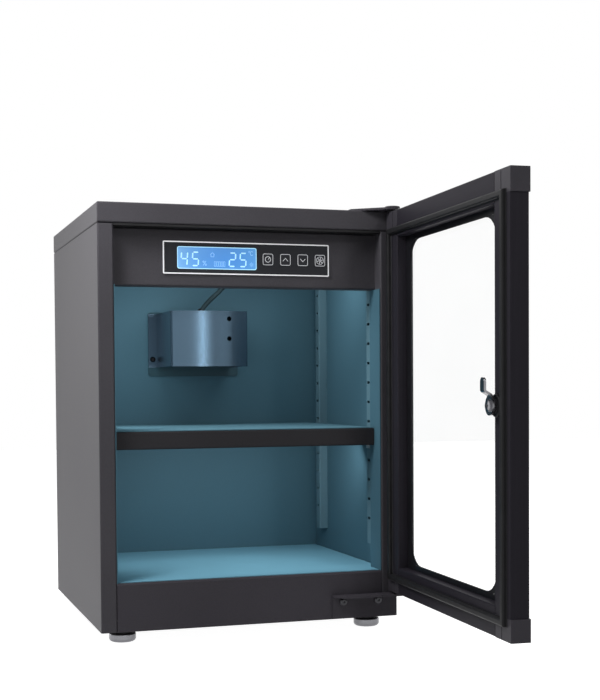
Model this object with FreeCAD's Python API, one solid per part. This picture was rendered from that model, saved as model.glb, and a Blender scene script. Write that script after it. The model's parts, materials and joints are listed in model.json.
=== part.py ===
import FreeCAD, Part
import math
import os

# Bench-top electronic dry cabinet (desiccator cabinet), millimetres, +Z up.
# Origin: centre of the body's footprint, on the surface that the feet stand on.
# The door side faces -Y. The hinges are on the right (+X). The door is shown open.

V = FreeCAD.Vector

# ---------------------------------------------------------------- driving dimensions
# steel body
BODY_W = 300.0          # outside width
BODY_D = 304.0          # outside depth, front frame to back panel
BODY_H = 408.0          # base panel to the top of the cover
FOOT_GAP = 12.0         # height of the base panel above the bench
SHEET = 1.2             # outer panels
BEND = 0.8              # inside radius of every bend in the sheet
COVER_H = 20.0          # rim of the top cover
COVER_RADIUS = 2.2      # outside radius of the cover's front lower edge
COVER_EDGE_R = 1.5      # outside radius of its other edges
COVER_LIP = 9.0         # return under the rim of the cover
SEAM = 0.4              # seam between the cover and the side panels
STILE_W = 15.5          # front face of each side panel
STILE_LIP = 18.0        # its return towards the back
REAR_FLANGE = 14.0      # rear flange of each side panel
RAIL_H = 46.5           # bottom rail, up to the opening
SILL_D = 4.0            # its fold under the chamber floor's front edge
PAN_LIP = 10.0          # upturned edges of the base pan

# chamber
HEAD_H = 77.6           # top of the opening to the top of the cover
CHAMBER_D = 236.0       # front frame to the chamber's back wall
WALL = 6.0              # outer face of a side to the chamber's wall
JAMB_D = 28.0           # lining of the opening's sides, front frame to its rear edge
JAMB_SET = 0.6          # its front edge behind the front frame
LINER = 0.8             # chamber sheet
LINER_FLANGE = 8.0      # folded edges of the chamber sheets
HEADROOM = 30.0         # top of the cover down to the chamber's ceiling
MAT_T = 1.8             # foam mat on the floor
MAT_GAP = 0.6           # play round the mat
SHELF_MAT_T = 0.8       # thin mat on the shelf
SHELF_MAT_IN = 0.8      # shelf left bare round its mat

# fascia and controls
REVEAL = 2.0            # dark gap between the fascia and the cover
FASCIA_SET = 15.0       # fascia behind the front frame
FASCIA_RETURN = 16.0    # lower fold of the fascia
STRIP_D = 20.0          # rubber strip over the fascia, where the door's seal lands
PANEL_W = 169.0         # control panel with its trim
PANEL_H = 31.5
PANEL_X = 0.2           # centre of the panel
PANEL_UP = 28.0         # centre of the panel above the opening
PANEL_T = 1.2           # thickness of the overlay
TRIM_W = 1.1            # bright line round the overlay
TRIM_PROUD = 0.3
LCD_W = 79.8
LCD_H = 21.6
LCD_X = -30.4           # centre of the display
LCD_GLASS_T = 2.4
KEY_W = 11.5
KEY_H = 12.1
KEY_COUNT = 4
KEY_PITCH = 18.07
KEY_FIRST_X = 21.1      # centre of the first key
KEY_RADIUS = 2.0
KEY_PLAY = 0.3          # gap round each key
KEY_PROUD = 0.4         # key face in front of the overlay
KEY_STROKE = 0.6
KEY_EDGE_R = 0.28       # rounded rim of each key
KEY_FLANGE = 0.9        # retaining edge of a key behind the overlay
KEY_FLANGE_T = 1.0
SWITCH_W = 6.0
SWITCH_T = 1.1
MODULE_T = 6.0          # display module on the control board
MODULE_RIM = 3.0
PCB_T = 1.6
TRAY_W = 190.0          # control box behind the fascia
TRAY_D = 40.0
TRAY_H = 39.0
TRAY_WALL = 1.6
PROBE_W = 18.0          # humidity probe under the box
PROBE_D = 12.0
PROBE_H = 5.0
PROBE_ROUND = 3.0
PROBE_SLOTS = 5
PROBE_PITCH = 3.2
PROBE_SLOT_W = 1.4
PROBE_CROWN = 1.7       # plain part above the probe's slots
PROBE_X = 63.3          # probe to the right of the panel's centre
PROBE_BACK = 28.0       # probe behind the fascia

# shelf and its rails
SHELF_SHARE = 0.5064    # shelf top, as a share of the opening's height
SHELF_FRONT_H = 17.5    # front fold of the shelf
SHELF_SIDE_H = 12.2     # side folds of the shelf
SHELF_T = 1.0
SHELF_HEM = 2.4         # return under the front fold
SHELF_SET = 16.0        # shelf behind the front frame
SHELF_D = 212.0
SHELF_PLAY = 0.7        # shelf to the lining of the opening
RAIL_W = 12.0           # slotted rail
RAIL_T = 9.4            # its depth, out to the line of the opening
RAIL_SHEET = 0.8
RAIL_UP = 25.0          # its lower end above the floor
RAIL_FRONT_Y = 29.0     # front rail behind the front frame
RAIL_REAR_Y = 193.0
SLOT_PITCH = 20.0
SLOT_W = 7.0
SLOT_H = 2.6
CLIP_REACH = 10.0
CLIP_T = 1.2
CLIP_DROP = 9.0
CLIP_W = 9.0
CLIP_WEB_REACH = 7.0    # stiffening web under the clip's seat
CLIP_WEB_DROP = 7.2
REST_GAP = 0.3          # play under anything that lies loose

# drying unit on the back wall
DRYER_W = 86.0
DRYER_H = 60.0
DRYER_X = -2.5          # centre of the cover
DRYER_DOWN = 152.5      # underside of the cover below the cabinet's top
DRYER_D = 76.0          # depth of the cover at its corners
DRYER_BOW = 6.0         # bulge of its front
DRYER_SHEET = 1.0
DRYER_BEND = 3.0
DRYER_EAR = 9.0
DRYER_HOLE_R = 2.6
DRYER_HOLE_IN = 22.0    # holes from the right edge of the cover
DRYER_HOLE_PITCH = 21.5
PLATE_T = 2.0           # insulating plate behind the cover
PLATE_DROP = 10.0
SINK_W = 50.0           # cold block
SINK_BASE = 4.6
SINK_FIN_T = 1.4
SINK_FIN_COUNT = 9
COLD_FIN_D = 22.0
PELTIER = 40.0
PELTIER_T = 4.2
PELTIER_PLAY = 1.0
HOT_W = 84.0            # hot block in the rear space
HOT_H = 90.0
HOT_FIN_D = 27.0
HOT_FIN_COUNT = 13

# cable from the drying unit to the control box
CABLE_R = 2.6
CABLE_OUT = 38.0        # cable's hole in front of the drying unit's plate
CABLE_SLANT = 34.0      # cable's angle from upright where it leaves the cover
CABLE_TILT = 48.0       # its angle further up, both to the right
CABLE_TAIL = 6.0        # cable inside the cover
CABLE_RISE = 11.5       # first stretch above the cover
CABLE_LEAN = 26.0       # the stretch that follows
CABLE_UNDER = 9.0       # cable under the ceiling
CABLE_END_X = 28.0
CABLE_END_UP = 2.0      # cable's end above the panel's centre line
CABLE_SWAY = 8.0        # level stretch to the right of the end
CABLE_STAGES = (0.12, 0.34, 0.59, 0.80, 0.92)   # its turns, as shares of its way forwards
CABLE_TURN_SHARE = 0.45 # part of the shorter run that a turn takes up
SADDLE_W = 8.0
SADDLE_WALL = 1.6
BUSHING_R = 6.0         # rubber bushes round the cable's ends
BUSHING_LIP = 1.2
BUSHING_NOSE = 3.5
BUSHING_NOSE_WALL = 1.0
BUSHING_PLAY = 0.02

# door
DOOR_OPEN = 87.3        # angle at rest
DOOR_DROP = 2.5         # door's top below the cover's top
DOOR_UP = 27.0          # door above the base panel
DOOR_T = 16.5
DOOR_GAP = 4.3          # door frame to the front frame when shut
CAP_PROUD = 1.0         # end caps outside the stiles
CAP_TOP_H = 20.0
CAP_BOTTOM_H = 19.0
DOOR_STILE_W = 31.0
DOOR_RAIL_W = 26.0
DOOR_WALL = 1.8
DOOR_EDGE_R = 1.0
GLASS_T = 4.0
BORDER_T = 0.6          # enamelled border sheet behind the glass
GLASS_SET = 9.6         # glass behind the inner face
GLASS_SEAT = 12.0       # how far the frame holds the glass
GLASS_PLAY = 0.8
WINDOW_SIDE = 43.0      # window in from the sides
WINDOW_END = 31.0       # window in from the top and bottom
WINDOW_R = 16.0
GASKET_W = 7.0
GASKET_ROOT = 2.0
GASKET_PLAY = 0.2
GASKET_CLEAR = 0.3      # gasket to the front frame when shut
GASKET_LIP = 0.6        # edge of its root outside its bead
GASKET_CROWN_R = 1.6    # rounded crest
GASKET_SIDE = 11.5      # centre line in from the sides
GASKET_TOP = 20.0
GASKET_BOTTOM = 15.0
BEAD_LINE = 1.0         # fine grooves along the frame
BEAD_IN = 3.0           # grooves beside the gasket

# hinges
PIVOT_IN = 5.5          # pivot in from the hinge edge
PIVOT_SET = 4.5         # pivot behind the door's inner face
PIN_R = 2.5
PIN_PLAY = 0.05
PIN_DEPTH = 10.0
BUSH_T = 1.1
BUSH_FLANGE = 1.6
BUSH_FLANGE_T = 1.0
HINGE_T = 2.0
HINGE_W = 68.5          # lower bracket
HINGE_H = 24.0
HINGE_SCREW_DOWN = 7.0  # its screws below its fold
HINGE_REACH = 10.2      # hinge plates beyond the pivot
HINGE_UNDER = 2.5       # lower bracket under the door
HINGE_CUT = 9.0         # slanted corner of the lower bracket
HINGE_TOP_W = 44.0      # upper plate along the cover's edge
HINGE_TOP_BACK = 24.0
HINGE_TOP_SCREW = 15.0  # its screws behind the front frame
HINGE_TOP_SCREW_IN = 9.0
HINGE_TOP_SCREW_PITCH = 18.0
HINGE_TOP_SIDE = 7.0    # where its slanted edge starts, behind the front frame
HINGE_ROUND = 4.0
HINGE_NOSE_ROUND = 6.0
HINGE_NOSE_SET = 2.0    # upper plate's nose behind the lower bracket's edge
PIN_HEAD_R = 7.7
PIN_HEAD_H = 1.8
PIN_HEAD_ROUND = 1.2
HINGE_SCREW_IN = 20.5
HINGE_SCREW_PITCH = 37.0

# lock
LOCK_IN = 25.0          # lock axis in from the free edge
BARREL_R = 5.5
BARREL_HEAD_R = 9.0
BARREL_HEAD_T = 2.5
BARREL_HEAD_ROUND = 1.2
BARREL_SHORT = 0.3      # barrel's end short of the cam
PLUG_R = 4.0
PLUG_PLAY = 0.05
NUT_R = 9.5
NUT_T = 3.0
NUT_ROUND = 1.2
NUT_GROOVE = 0.6        # ring groove in the lock nut's face
NUT_GROOVE_IN = 2.0
CAM_T = 2.0
CAM_HUB_R = 8.0
CAM_W = 8.0
CAM_REACH = 23.0
CAM_JOG = 6.0
CAM_STAND = 6.0         # cam above the door's inner face
STRIKE_PLAY = 1.2
CAM_SCREW_HEAD_R = 5.2
CAM_SCREW_HEAD_H = 2.2
CAM_SCREW_R = 2.0
CAM_STEP_RISE = 3.6     # height of the cam's slanted step
CAM_ROOT = 4.8          # strip starts this far above the lock's axis
KEYWAY_W = 1.4
KEYWAY_H = 5.4

# feet
FOOT_R = 13.0
FOOT_H = 8.4
FOOT_ROUND = 3.4
FOOT_TOP_ROUND = 1.7
FOOT_IN_X = 24.0
FOOT_IN_Y = 22.0
STUD_R = 4.0
STUD_PLAY = 0.3
STUD_UP = 18.0
COLLAR_R = 10.0
NUT_AF = 13.0
NUT_H = 6.5

# rear
LOUVRE_W = 46.0
LOUVRE_R = 3.4
LOUVRE_SHEET = 0.9
LOUVRE_ROWS = 6
LOUVRE_PITCH = 14.0
LOUVRE_GAP = 12.0       # between the two columns
JACK_X = -92.0
JACK_UP = 70.0
JACK_R = 5.5
JACK_NUT_R = 7.5
JACK_NUT_T = 2.0
JACK_D = 14.0
JACK_BORE_R = 3.1
JACK_PIN_R = 1.0
JACK_FLOOR = 3.0
SCREW_R = 1.5
SCREW_HEAD_R = 3.0
SCREW_HEAD_H = 2.0
SCREW_CROWN = 0.35      # domed share of a screw head's height
SCREW_DOME = 0.6        # width of the dome's top, share of the head
SCREW_SOCKET = 0.35     # drive socket, share of the head
BIG_SCREW_R = 2.0
BIG_SCREW_HEAD_R = 3.8
BIG_SCREW_HEAD_H = 2.6
BOARD_W = 96.0
BOARD_H = 64.0
BOARD_UP = 120.0
BOARD_EDGE = 4.6        # pegs in from the board's edges
PART_TALL = 24.0        # tallest part on the board
# parts on the board: left, right, low, high as shares of the board, height as share of the tallest
BOARD_BLOCKS = ((0.12, 0.42, 0.20, 0.70, 0.90), (0.52, 0.68, 0.60, 0.85, 0.50))
# cans on the board: centre across and up, radius, as shares of the board, and height
BOARD_CANS = ((0.60, 0.30, 0.12, 1.00), (0.80, 0.70, 0.09, 0.75))
STANDOFF = 8.0

# ---------------------------------------------------------------- derived places
LEFT = -BODY_W / 2
RIGHT = BODY_W / 2
FRONT = -BODY_D / 2
BACK = BODY_D / 2
BASE = FOOT_GAP
TOP = BASE + BODY_H
COVER_Z = TOP - COVER_H
SIDE_TOP = COVER_Z - SEAM
OPENING_Z = BASE + RAIL_H
OPENING_H = BODY_H - RAIL_H - HEAD_H
FASCIA_Z = OPENING_Z + OPENING_H
FASCIA_TOP = COVER_Z - REVEAL
FASCIA_Y = FRONT + FASCIA_SET
WALL_BACK = FRONT + CHAMBER_D
CEILING = TOP - HEADROOM
FLOOR = OPENING_Z - SHEET
OPENING_HALF = BODY_W / 2 - STILE_W
JAMB_HALF = OPENING_HALF - LINER
PANEL_Z = FASCIA_Z + PANEL_UP
PANEL_Y = FASCIA_Y - PANEL_T
PCB_Y = FASCIA_Y + SHEET + MODULE_T
SHELF_Z = OPENING_Z + SHELF_SHARE * OPENING_H
SHELF_HALF = JAMB_HALF - SHELF_PLAY
DRYER_Z = TOP - DRYER_DOWN
DRYER_WALL = WALL_BACK - PLATE_T
DOOR_Z = BASE + DOOR_UP
DOOR_H = BODY_H - DOOR_UP - DOOR_DROP
DOOR_TOP = DOOR_Z + DOOR_H
INNER_Y = FRONT - DOOR_GAP
OUTER_Y = INNER_Y - DOOR_T
PIVOT = V(RIGHT - PIVOT_IN, INNER_Y - PIVOT_SET, 0)
LOCK_X = LEFT + LOCK_IN
LOCK_Z = DOOR_Z + DOOR_H / 2

TOUCH = 0.1             # tolerance when edges are picked by place
THROUGH = 10.0          # cutting tools reach this far past a sheet

NODES = {}


def add(name, *shapes):
    """Keeps the solids of one named piece."""
    solids = [solid for shape in shapes for solid in shape.Solids]
    NODES[name] = NODES.get(name, []) + solids


# ---------------------------------------------------------------- small tools
def box(x0, x1, y0, y1, z0, z1):
    return Part.makeBox(x1 - x0, y1 - y0, z1 - z0, V(x0, y0, z0))


def disc(radius, height, x, y, z, axis=V(0, 0, 1)):
    return Part.makeCylinder(radius, height, V(x, y, z), axis)


def at(plane, u, v, start):
    """A point of a flat outline: plan (u=x, v=y), side (u=y, v=z) or front (u=x, v=z)."""
    return {"plan": V(u, v, start), "side": V(start, u, v), "front": V(u, start, v)}[plane]


ALONG = {"plan": V(0, 0, 1), "side": V(1, 0, 0), "front": V(0, 1, 0)}


def corner_edges(points, radii, closed):
    """Straight runs between 2D points, joined by tangent arcs of the given radii."""
    count = len(points)
    starts, ends, edges = list(points), list(points), []
    arcs = [None] * count
    for i in range(count):
        if radii[i] <= 0 or (not closed and i in (0, count - 1)):
            continue
        here = V(*points[i], 0)
        back = V(*points[i - 1], 0).sub(here)
        ahead = V(*points[(i + 1) % count], 0).sub(here)
        back.normalize()
        ahead.normalize()
        half = math.acos(max(-1.0, min(1.0, back.dot(ahead)))) / 2
        reach = radii[i] / math.tan(half)
        middle = (back + ahead).normalize()
        centre = here + middle * (radii[i] / math.sin(half))
        first, last = here + back * reach, here + ahead * reach
        top = centre - middle * radii[i]
        starts[i], ends[i] = (first.x, first.y), (last.x, last.y)
        arcs[i] = ((first.x, first.y), (top.x, top.y), (last.x, last.y))
    for i in range(count):
        if arcs[i]:
            edges.append(arcs[i])
        if closed or i < count - 1:
            a, b = ends[i], starts[(i + 1) % count]
            if math.dist(a, b) > 1e-6:
                edges.append((a, b))
    return edges


def face_of(edges, plane, start):
    """A flat face from 2D runs and arcs."""
    shapes = []
    for edge in edges:
        places = [at(plane, u, v, start) for u, v in edge]
        if len(places) == 3:
            shapes.append(Part.Arc(*places).toShape())
        else:
            shapes.append(Part.makeLine(*places))
    return Part.Face(Part.Wire(Part.__sortEdges__(shapes)))


def prism(points, plane, start, length, radius=0.0):
    """A closed outline, its corners rounded by one radius or a list of them, drawn out."""
    radii = list(radius) if isinstance(radius, (list, tuple)) else [radius] * len(points)
    face = face_of(corner_edges(points, radii, True), plane, start)
    return face.extrude(ALONG[plane] * length)


def folded(points, sheet, plane, start, length, side=1, bend=BEND):
    """Folded sheet: the points run along its outer skin, the metal lies to the left (side 1)
    or to the right (side -1) of them."""
    count = len(points)
    dirs = []
    for a, b in zip(points, points[1:]):
        run = V(b[0] - a[0], b[1] - a[1], 0)
        dirs.append(run.normalize())
    normals = [V(-d.y, d.x, 0) * side for d in dirs]
    inner, skin_r, core_r = [], [0.0] * count, [0.0] * count
    for i in range(count):
        if i == 0 or i == count - 1:
            shift = normals[0 if i == 0 else -1] * sheet
        else:
            n1, n2 = normals[i - 1], normals[i]
            shift = (n1 + n2) * (sheet / (1 + n1.dot(n2)))
            turn = (dirs[i - 1].x * dirs[i].y - dirs[i - 1].y * dirs[i].x) * side
            skin_r[i] = bend + sheet if turn > 0 else bend
            core_r[i] = bend if turn > 0 else bend + sheet
        inner.append((points[i][0] + shift.x, points[i][1] + shift.y))
    skin = corner_edges(points, skin_r, False)
    core = corner_edges(inner, core_r, False)
    caps = [(points[0], inner[0]), (points[-1], inner[-1])]
    return face_of(skin + core + caps, plane, start).extrude(ALONG[plane] * length)


def frame_outline(x0, x1, z0, z1, radius, y, depth):
    """A rounded rectangle seen from the front, drawn out along Y."""
    return prism([(x0, z0), (x1, z0), (x1, z1), (x0, z1)], "front", y, depth, radius)


def ring(x0, x1, z0, z1, width, radius, y, depth):
    outer = frame_outline(x0, x1, z0, z1, radius, y, depth)
    inner = frame_outline(x0 + width, x1 - width, z0 + width, z1 - width,
                          max(radius - width, 0.0), y, depth)
    return outer.cut(inner)


def mirrored(shape):
    """The left-hand copy of a right-hand piece, and the other way round."""
    return shape.mirror(V(0, 0, 0), V(1, 0, 0))


def pan_screw(x, y, z, outward, shank, head_r=SCREW_HEAD_R, head_h=SCREW_HEAD_H,
              shank_r=SCREW_R):
    """A pan-head screw whose head stands on a face at (x, y, z)."""
    rise = head_h - SCREW_CROWN * head_h
    head = disc(head_r, rise, x, y, z, outward)
    dome = Part.makeCone(head_r, head_r * SCREW_DOME, head_h - rise, V(x, y, z) + outward * rise, outward)
    socket = disc(head_r * SCREW_SOCKET, head_h, 0, 0, 0, outward)
    socket.translate(V(x, y, z) + outward * (head_h / 2))
    body = disc(shank_r, shank, x, y, z, outward * -1)
    return head.fuse([dome, body]).cut(socket).removeSplitter()


def drilled(shape, places, radius, axis):
    """Bores round holes through the sheet at the given places."""
    for place in places:
        shape = shape.cut(Part.makeCylinder(radius, THROUGH, place - axis * (THROUGH / 2), axis))
    return shape


# ---------------------------------------------------------------- outer body
def lock_slot():
    """The strike: a slot in the left stile's return that the lock's cam swings down into."""
    cam_y = INNER_Y + CAM_STAND + CAM_JOG
    return box(LEFT + STILE_W - 2 * SHEET, LEFT + STILE_W + 1, cam_y - STRIKE_PLAY,
               cam_y + CAM_T + STRIKE_PLAY, LOCK_Z - CAM_W / 2 - STRIKE_PLAY,
               LOCK_Z + CAM_REACH + STRIKE_PLAY)


def side_panels():
    """One folded sheet each: front stile with its return, side, rear flange."""
    path = [(LEFT + STILE_W, FRONT + STILE_LIP), (LEFT + STILE_W, FRONT), (LEFT, FRONT),
            (LEFT, BACK - SHEET), (LEFT + REAR_FLANGE, BACK - SHEET)]
    panel = folded(path, SHEET, "plan", BASE, SIDE_TOP - BASE, -1)
    pan_notch = box(LEFT + SHEET, LEFT + STILE_W + 1, FRONT + SHEET, FRONT + STILE_LIP + 1,
                    BASE - 1, BASE + PAN_LIP)
    panel = panel.cut(pan_notch)
    holes = [V(x, BACK, z) for x, z in back_screws() if x < 0]
    panel = drilled(panel, holes, SCREW_R, V(0, 1, 0))
    add("side_panel_right", mirrored(panel))
    add("side_panel_left", panel.cut(lock_slot()))


def foot_places():
    x, y = BODY_W / 2 - FOOT_IN_X, BODY_D / 2 - FOOT_IN_Y
    return {"front_left": (-x, -y), "front_right": (x, -y), "rear_left": (-x, y),
            "rear_right": (x, y)}


def base_pan():
    """Base sheet with upturned edges inside the panels, drilled for the feet."""
    rear = BACK - 2 * SHEET
    outer = box(LEFT + SHEET, RIGHT - SHEET, FRONT + SHEET, rear, BASE, BASE + PAN_LIP)
    inner = box(LEFT + 2 * SHEET, RIGHT - 2 * SHEET, FRONT + 2 * SHEET, rear - SHEET,
                BASE + SHEET, BASE + PAN_LIP + 1)
    upright = [edge for edge in outer.Edges if edge.BoundBox.ZLength > PAN_LIP / 2]
    outer = outer.makeFillet(2 * BEND, upright)
    pan = outer.cut(inner)
    holes = [V(x, y, BASE) for x, y in foot_places().values()]
    add("base_pan", drilled(pan, holes, STUD_R + STUD_PLAY, V(0, 0, 1)))


def bottom_rail():
    """Kick panel between the stiles, with the sill folded back at its top."""
    path = [(FRONT + SILL_D, OPENING_Z), (FRONT, OPENING_Z), (FRONT, BASE)]
    rail = folded(path, SHEET, "side", LEFT + STILE_W, 2 * OPENING_HALF)
    holes = [V(x, FRONT, z) for x, z in bracket_screws()]
    add("bottom_rail", drilled(rail, holes, BIG_SCREW_R, V(0, 1, 0)))


def top_cover():
    """Shallow pan with rounded edges, its rim returned inwards along the underside."""
    outer = box(LEFT, RIGHT, FRONT, BACK, COVER_Z, TOP)
    sharp = [edge for edge in outer.Edges
             if edge.BoundBox.ZMin > TOP - TOUCH or edge.BoundBox.ZLength > COVER_H / 2]
    outer = outer.makeFillet(COVER_EDGE_R, sharp)
    hem = [edge for edge in outer.Edges
           if edge.BoundBox.ZMax < COVER_Z + TOUCH and edge.BoundBox.YMax < FRONT + SHEET
           and edge.BoundBox.XLength > BODY_W / 2]
    outer = outer.makeFillet(COVER_RADIUS, hem)
    inner = box(LEFT + SHEET, RIGHT - SHEET, FRONT + SHEET, BACK - SHEET, COVER_Z + SHEET,
                TOP - SHEET)
    mouth = box(LEFT + COVER_LIP, RIGHT - COVER_LIP, FRONT + COVER_LIP, BACK - COVER_LIP,
                COVER_Z - 1, COVER_Z + 2 * SHEET)
    cover = outer.cut([inner, mouth])
    holes = [V(x, y, TOP) for x, y in plate_screws()]
    add("top_cover", drilled(cover, holes, SCREW_R, V(0, 0, 1)))


def louvre_places():
    columns = (-(LOUVRE_W + LOUVRE_GAP) / 2, (LOUVRE_W + LOUVRE_GAP) / 2)
    low = DRYER_Z + DRYER_H / 2 - (LOUVRE_ROWS - 1) * LOUVRE_PITCH / 2
    return [(x + DRYER_X, low + row * LOUVRE_PITCH) for row in range(LOUVRE_ROWS)
            for x in columns]


def capsule(x, z, radius):
    """A round-ended bar along X at the back panel's outer face."""
    half = LOUVRE_W / 2 - LOUVRE_R
    bar = disc(radius, 2 * half, x - half, BACK, z, V(1, 0, 0))
    balls = [Part.makeSphere(radius, V(x + side * half, BACK, z)) for side in (-1, 1)]
    return bar.fuse(balls)


def back_panel():
    """Back sheet with pressed louvres over the hot block and a hole for the inlet."""
    panel = box(LEFT + SHEET, RIGHT - SHEET, BACK - SHEET, BACK, BASE, SIDE_TOP)
    hoods, mouths = [], []
    for x, z in louvre_places():
        quarter = box(x - LOUVRE_W, x + LOUVRE_W, BACK, BACK + LOUVRE_R + 1, z, z + LOUVRE_R + 1)
        shell = capsule(x, z, LOUVRE_R).cut(capsule(x, z, LOUVRE_R - LOUVRE_SHEET))
        hoods.append(shell.common(quarter))
        half = LOUVRE_W / 2 - LOUVRE_R
        mouths.append(box(x - half, x + half, BACK - 2 * SHEET, BACK, z,
                          z + LOUVRE_R - LOUVRE_SHEET))
    panel = panel.cut(mouths).fuse(hoods).removeSplitter()
    panel = drilled(panel, [V(JACK_X, BACK, BASE + JACK_UP)], JACK_R, V(0, 1, 0))
    holes = [V(x, BACK, z) for x, z in back_screws()]
    add("back_panel", drilled(panel, holes, SCREW_R, V(0, 1, 0)))


def back_screws():
    edge = SHEET + REAR_FLANGE / 2
    rows = [BASE + PAN_LIP * 2, (BASE + SIDE_TOP) / 2, SIDE_TOP - PAN_LIP * 2]
    return [(side * (RIGHT - edge), z) for side in (-1, 1) for z in rows]


# ---------------------------------------------------------------- chamber
def chamber():
    """Folded inner sheets: sides with the opening's lining, back, ceiling and floor."""
    step = FRONT + JAMB_D
    path = [(-OPENING_HALF, step), (LEFT + WALL, step), (LEFT + WALL, WALL_BACK)]
    wall = folded(path, LINER, "plan", FLOOR, CEILING - FLOOR)
    lining = box(-OPENING_HALF, -JAMB_HALF, FRONT + JAMB_SET, step, OPENING_Z, FASCIA_Z)
    wall = wall.fuse(lining).removeSplitter()
    add("chamber_wall_left", wall.cut(lock_slot()))
    add("chamber_wall_right", mirrored(wall))
    inside = BODY_W / 2 - SHEET
    back = folded([(-inside, WALL_BACK + LINER_FLANGE), (-inside, WALL_BACK),
                   (inside, WALL_BACK), (inside, WALL_BACK + LINER_FLANGE)],
                  LINER, "plan", BASE + PAN_LIP, SIDE_TOP - BASE - PAN_LIP)
    window = PELTIER / 2 + PELTIER_PLAY
    x, z = DRYER_X, DRYER_Z + DRYER_H / 2
    back = back.cut(box(x - window, x + window, WALL_BACK - 1, WALL_BACK + 2 * LINER, z - window,
                        z + window))
    add("chamber_back", back)
    ceiling = folded([(-inside, CEILING + LINER_FLANGE), (-inside, CEILING), (inside, CEILING),
                      (inside, CEILING + LINER_FLANGE)],
                     LINER, "front", FRONT + STILE_LIP, CHAMBER_D - STILE_LIP)
    add("chamber_ceiling", ceiling)
    start = SHEET + BEND
    floor = folded([(-inside, FLOOR - LINER_FLANGE), (-inside, FLOOR), (inside, FLOOR),
                    (inside, FLOOR - LINER_FLANGE)],
                   LINER, "front", FRONT + start, CHAMBER_D - start, -1)
    lips = [box(s * (BODY_W / 2 - STILE_W / 2) - STILE_W / 2 - 1,
                s * (BODY_W / 2 - STILE_W / 2) + STILE_W / 2 + 1,
                FRONT, FRONT + STILE_LIP + SEAM / 2, FLOOR - 2 * LINER_FLANGE, FLOOR + 1)
            for s in (-1, 1)]
    add("chamber_floor", floor.cut(lips))


def mats():
    """Foam mat on the floor, narrower between the lining's sides, and the shelf's mat."""
    wide, narrow = BODY_W / 2 - WALL - MAT_GAP, JAMB_HALF - MAT_GAP
    y0, y1, y2 = FRONT + SILL_D + MAT_GAP, FRONT + JAMB_D + MAT_GAP, WALL_BACK - MAT_GAP
    outline = [(-narrow, y0), (narrow, y0), (narrow, y1), (wide, y1), (wide, y2), (-wide, y2),
               (-wide, y1), (-narrow, y1)]
    add("floor_mat", prism(outline, "plan", FLOOR, MAT_T))
    half, rear = SHELF_HALF - SHELF_MAT_IN, FRONT + SHELF_SET + SHELF_D - SHELF_MAT_IN
    add("shelf_mat", frame_plan(-half, half, FRONT + SHELF_SET + SHELF_MAT_IN, rear, SHELF_Z,
                                SHELF_MAT_T, SHELF_MAT_T))


def frame_plan(x0, x1, y0, y1, z, height, radius):
    return prism([(x0, y0), (x1, y0), (x1, y1), (x0, y1)], "plan", z, height, radius)


# ---------------------------------------------------------------- shelf
def rail(y):
    """Slotted U channel on the left wall, open towards the wall."""
    x = LEFT + WALL
    path = [(x, y), (x + RAIL_T, y), (x + RAIL_T, y + RAIL_W), (x, y + RAIL_W)]
    foot = FLOOR + RAIL_UP
    strip = folded(path, RAIL_SHEET, "plan", foot, CEILING - foot, 1, BEND / 2)
    slots, z = [], shelf_seat()
    middle = y + RAIL_W / 2
    while z - SLOT_PITCH > foot + SLOT_PITCH / 2:
        z -= SLOT_PITCH
    while z < CEILING - SLOT_PITCH / 2:
        slots.append(box(x + RAIL_T / 2, x + RAIL_T + 1, middle - SLOT_W / 2,
                         middle + SLOT_W / 2, z - SLOT_H, z))
        z += SLOT_PITCH
    return strip.cut(slots)


def shelf_seat():
    """Top of the clips' shelves, just under the shelf's side folds."""
    return SHELF_Z - SHELF_SIDE_H - REST_GAP


def clip(y):
    """Angle clip: a tongue through the rail's slot, a seat and a drop plate with a web."""
    face, z, middle = LEFT + WALL + RAIL_T, shelf_seat(), y + RAIL_W / 2
    tongue = box(face - RAIL_SHEET, face + CLIP_T / 2, middle - SLOT_W / 2 + REST_GAP,
                 middle + SLOT_W / 2 - REST_GAP, z - CLIP_T - REST_GAP, z - REST_GAP)
    path = [(face, z - CLIP_DROP), (face, z), (face + CLIP_REACH, z)]
    plate = folded(path, CLIP_T, "front", middle - CLIP_W / 2, CLIP_W, -1)
    web = prism([(face + CLIP_T / 2, z - CLIP_T / 2), (face + CLIP_WEB_REACH, z - CLIP_T / 2),
                 (face + CLIP_T / 2, z - CLIP_WEB_DROP)], "front", middle - CLIP_T / 2, CLIP_T)
    return plate.fuse([tongue, web]).removeSplitter()


def shelf_and_rails():
    front, rear = FRONT + RAIL_FRONT_Y, FRONT + RAIL_REAR_Y
    for y in (front, rear):
        strip = rail(y)
        add("shelf_rails", strip, mirrored(strip))
        add("shelf_clips", clip(y), mirrored(clip(y)))
    y0, y1 = FRONT + SHELF_SET, FRONT + SHELF_SET + SHELF_D
    foot = SHELF_Z - SHELF_FRONT_H
    path = [(y0 + SHELF_HEM, foot), (y0, foot), (y0, SHELF_Z), (y1, SHELF_Z),
            (y1, SHELF_Z - SHELF_SIDE_H)]
    tray = folded(path, SHELF_T, "side", -SHELF_HALF, 2 * SHELF_HALF, -1)
    sides = [box(min(s * SHELF_HALF, s * (SHELF_HALF - SHELF_T)),
                 max(s * SHELF_HALF, s * (SHELF_HALF - SHELF_T)), y0 + SHELF_T / 2,
                 y1 - SHELF_T / 2, SHELF_Z - SHELF_SIDE_H, SHELF_Z - SHELF_T / 2)
             for s in (-1, 1)]
    add("shelf", tray.fuse(sides).removeSplitter())


# ---------------------------------------------------------------- fascia and controls
def key_centres():
    return [KEY_FIRST_X + i * KEY_PITCH for i in range(KEY_COUNT)]


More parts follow.
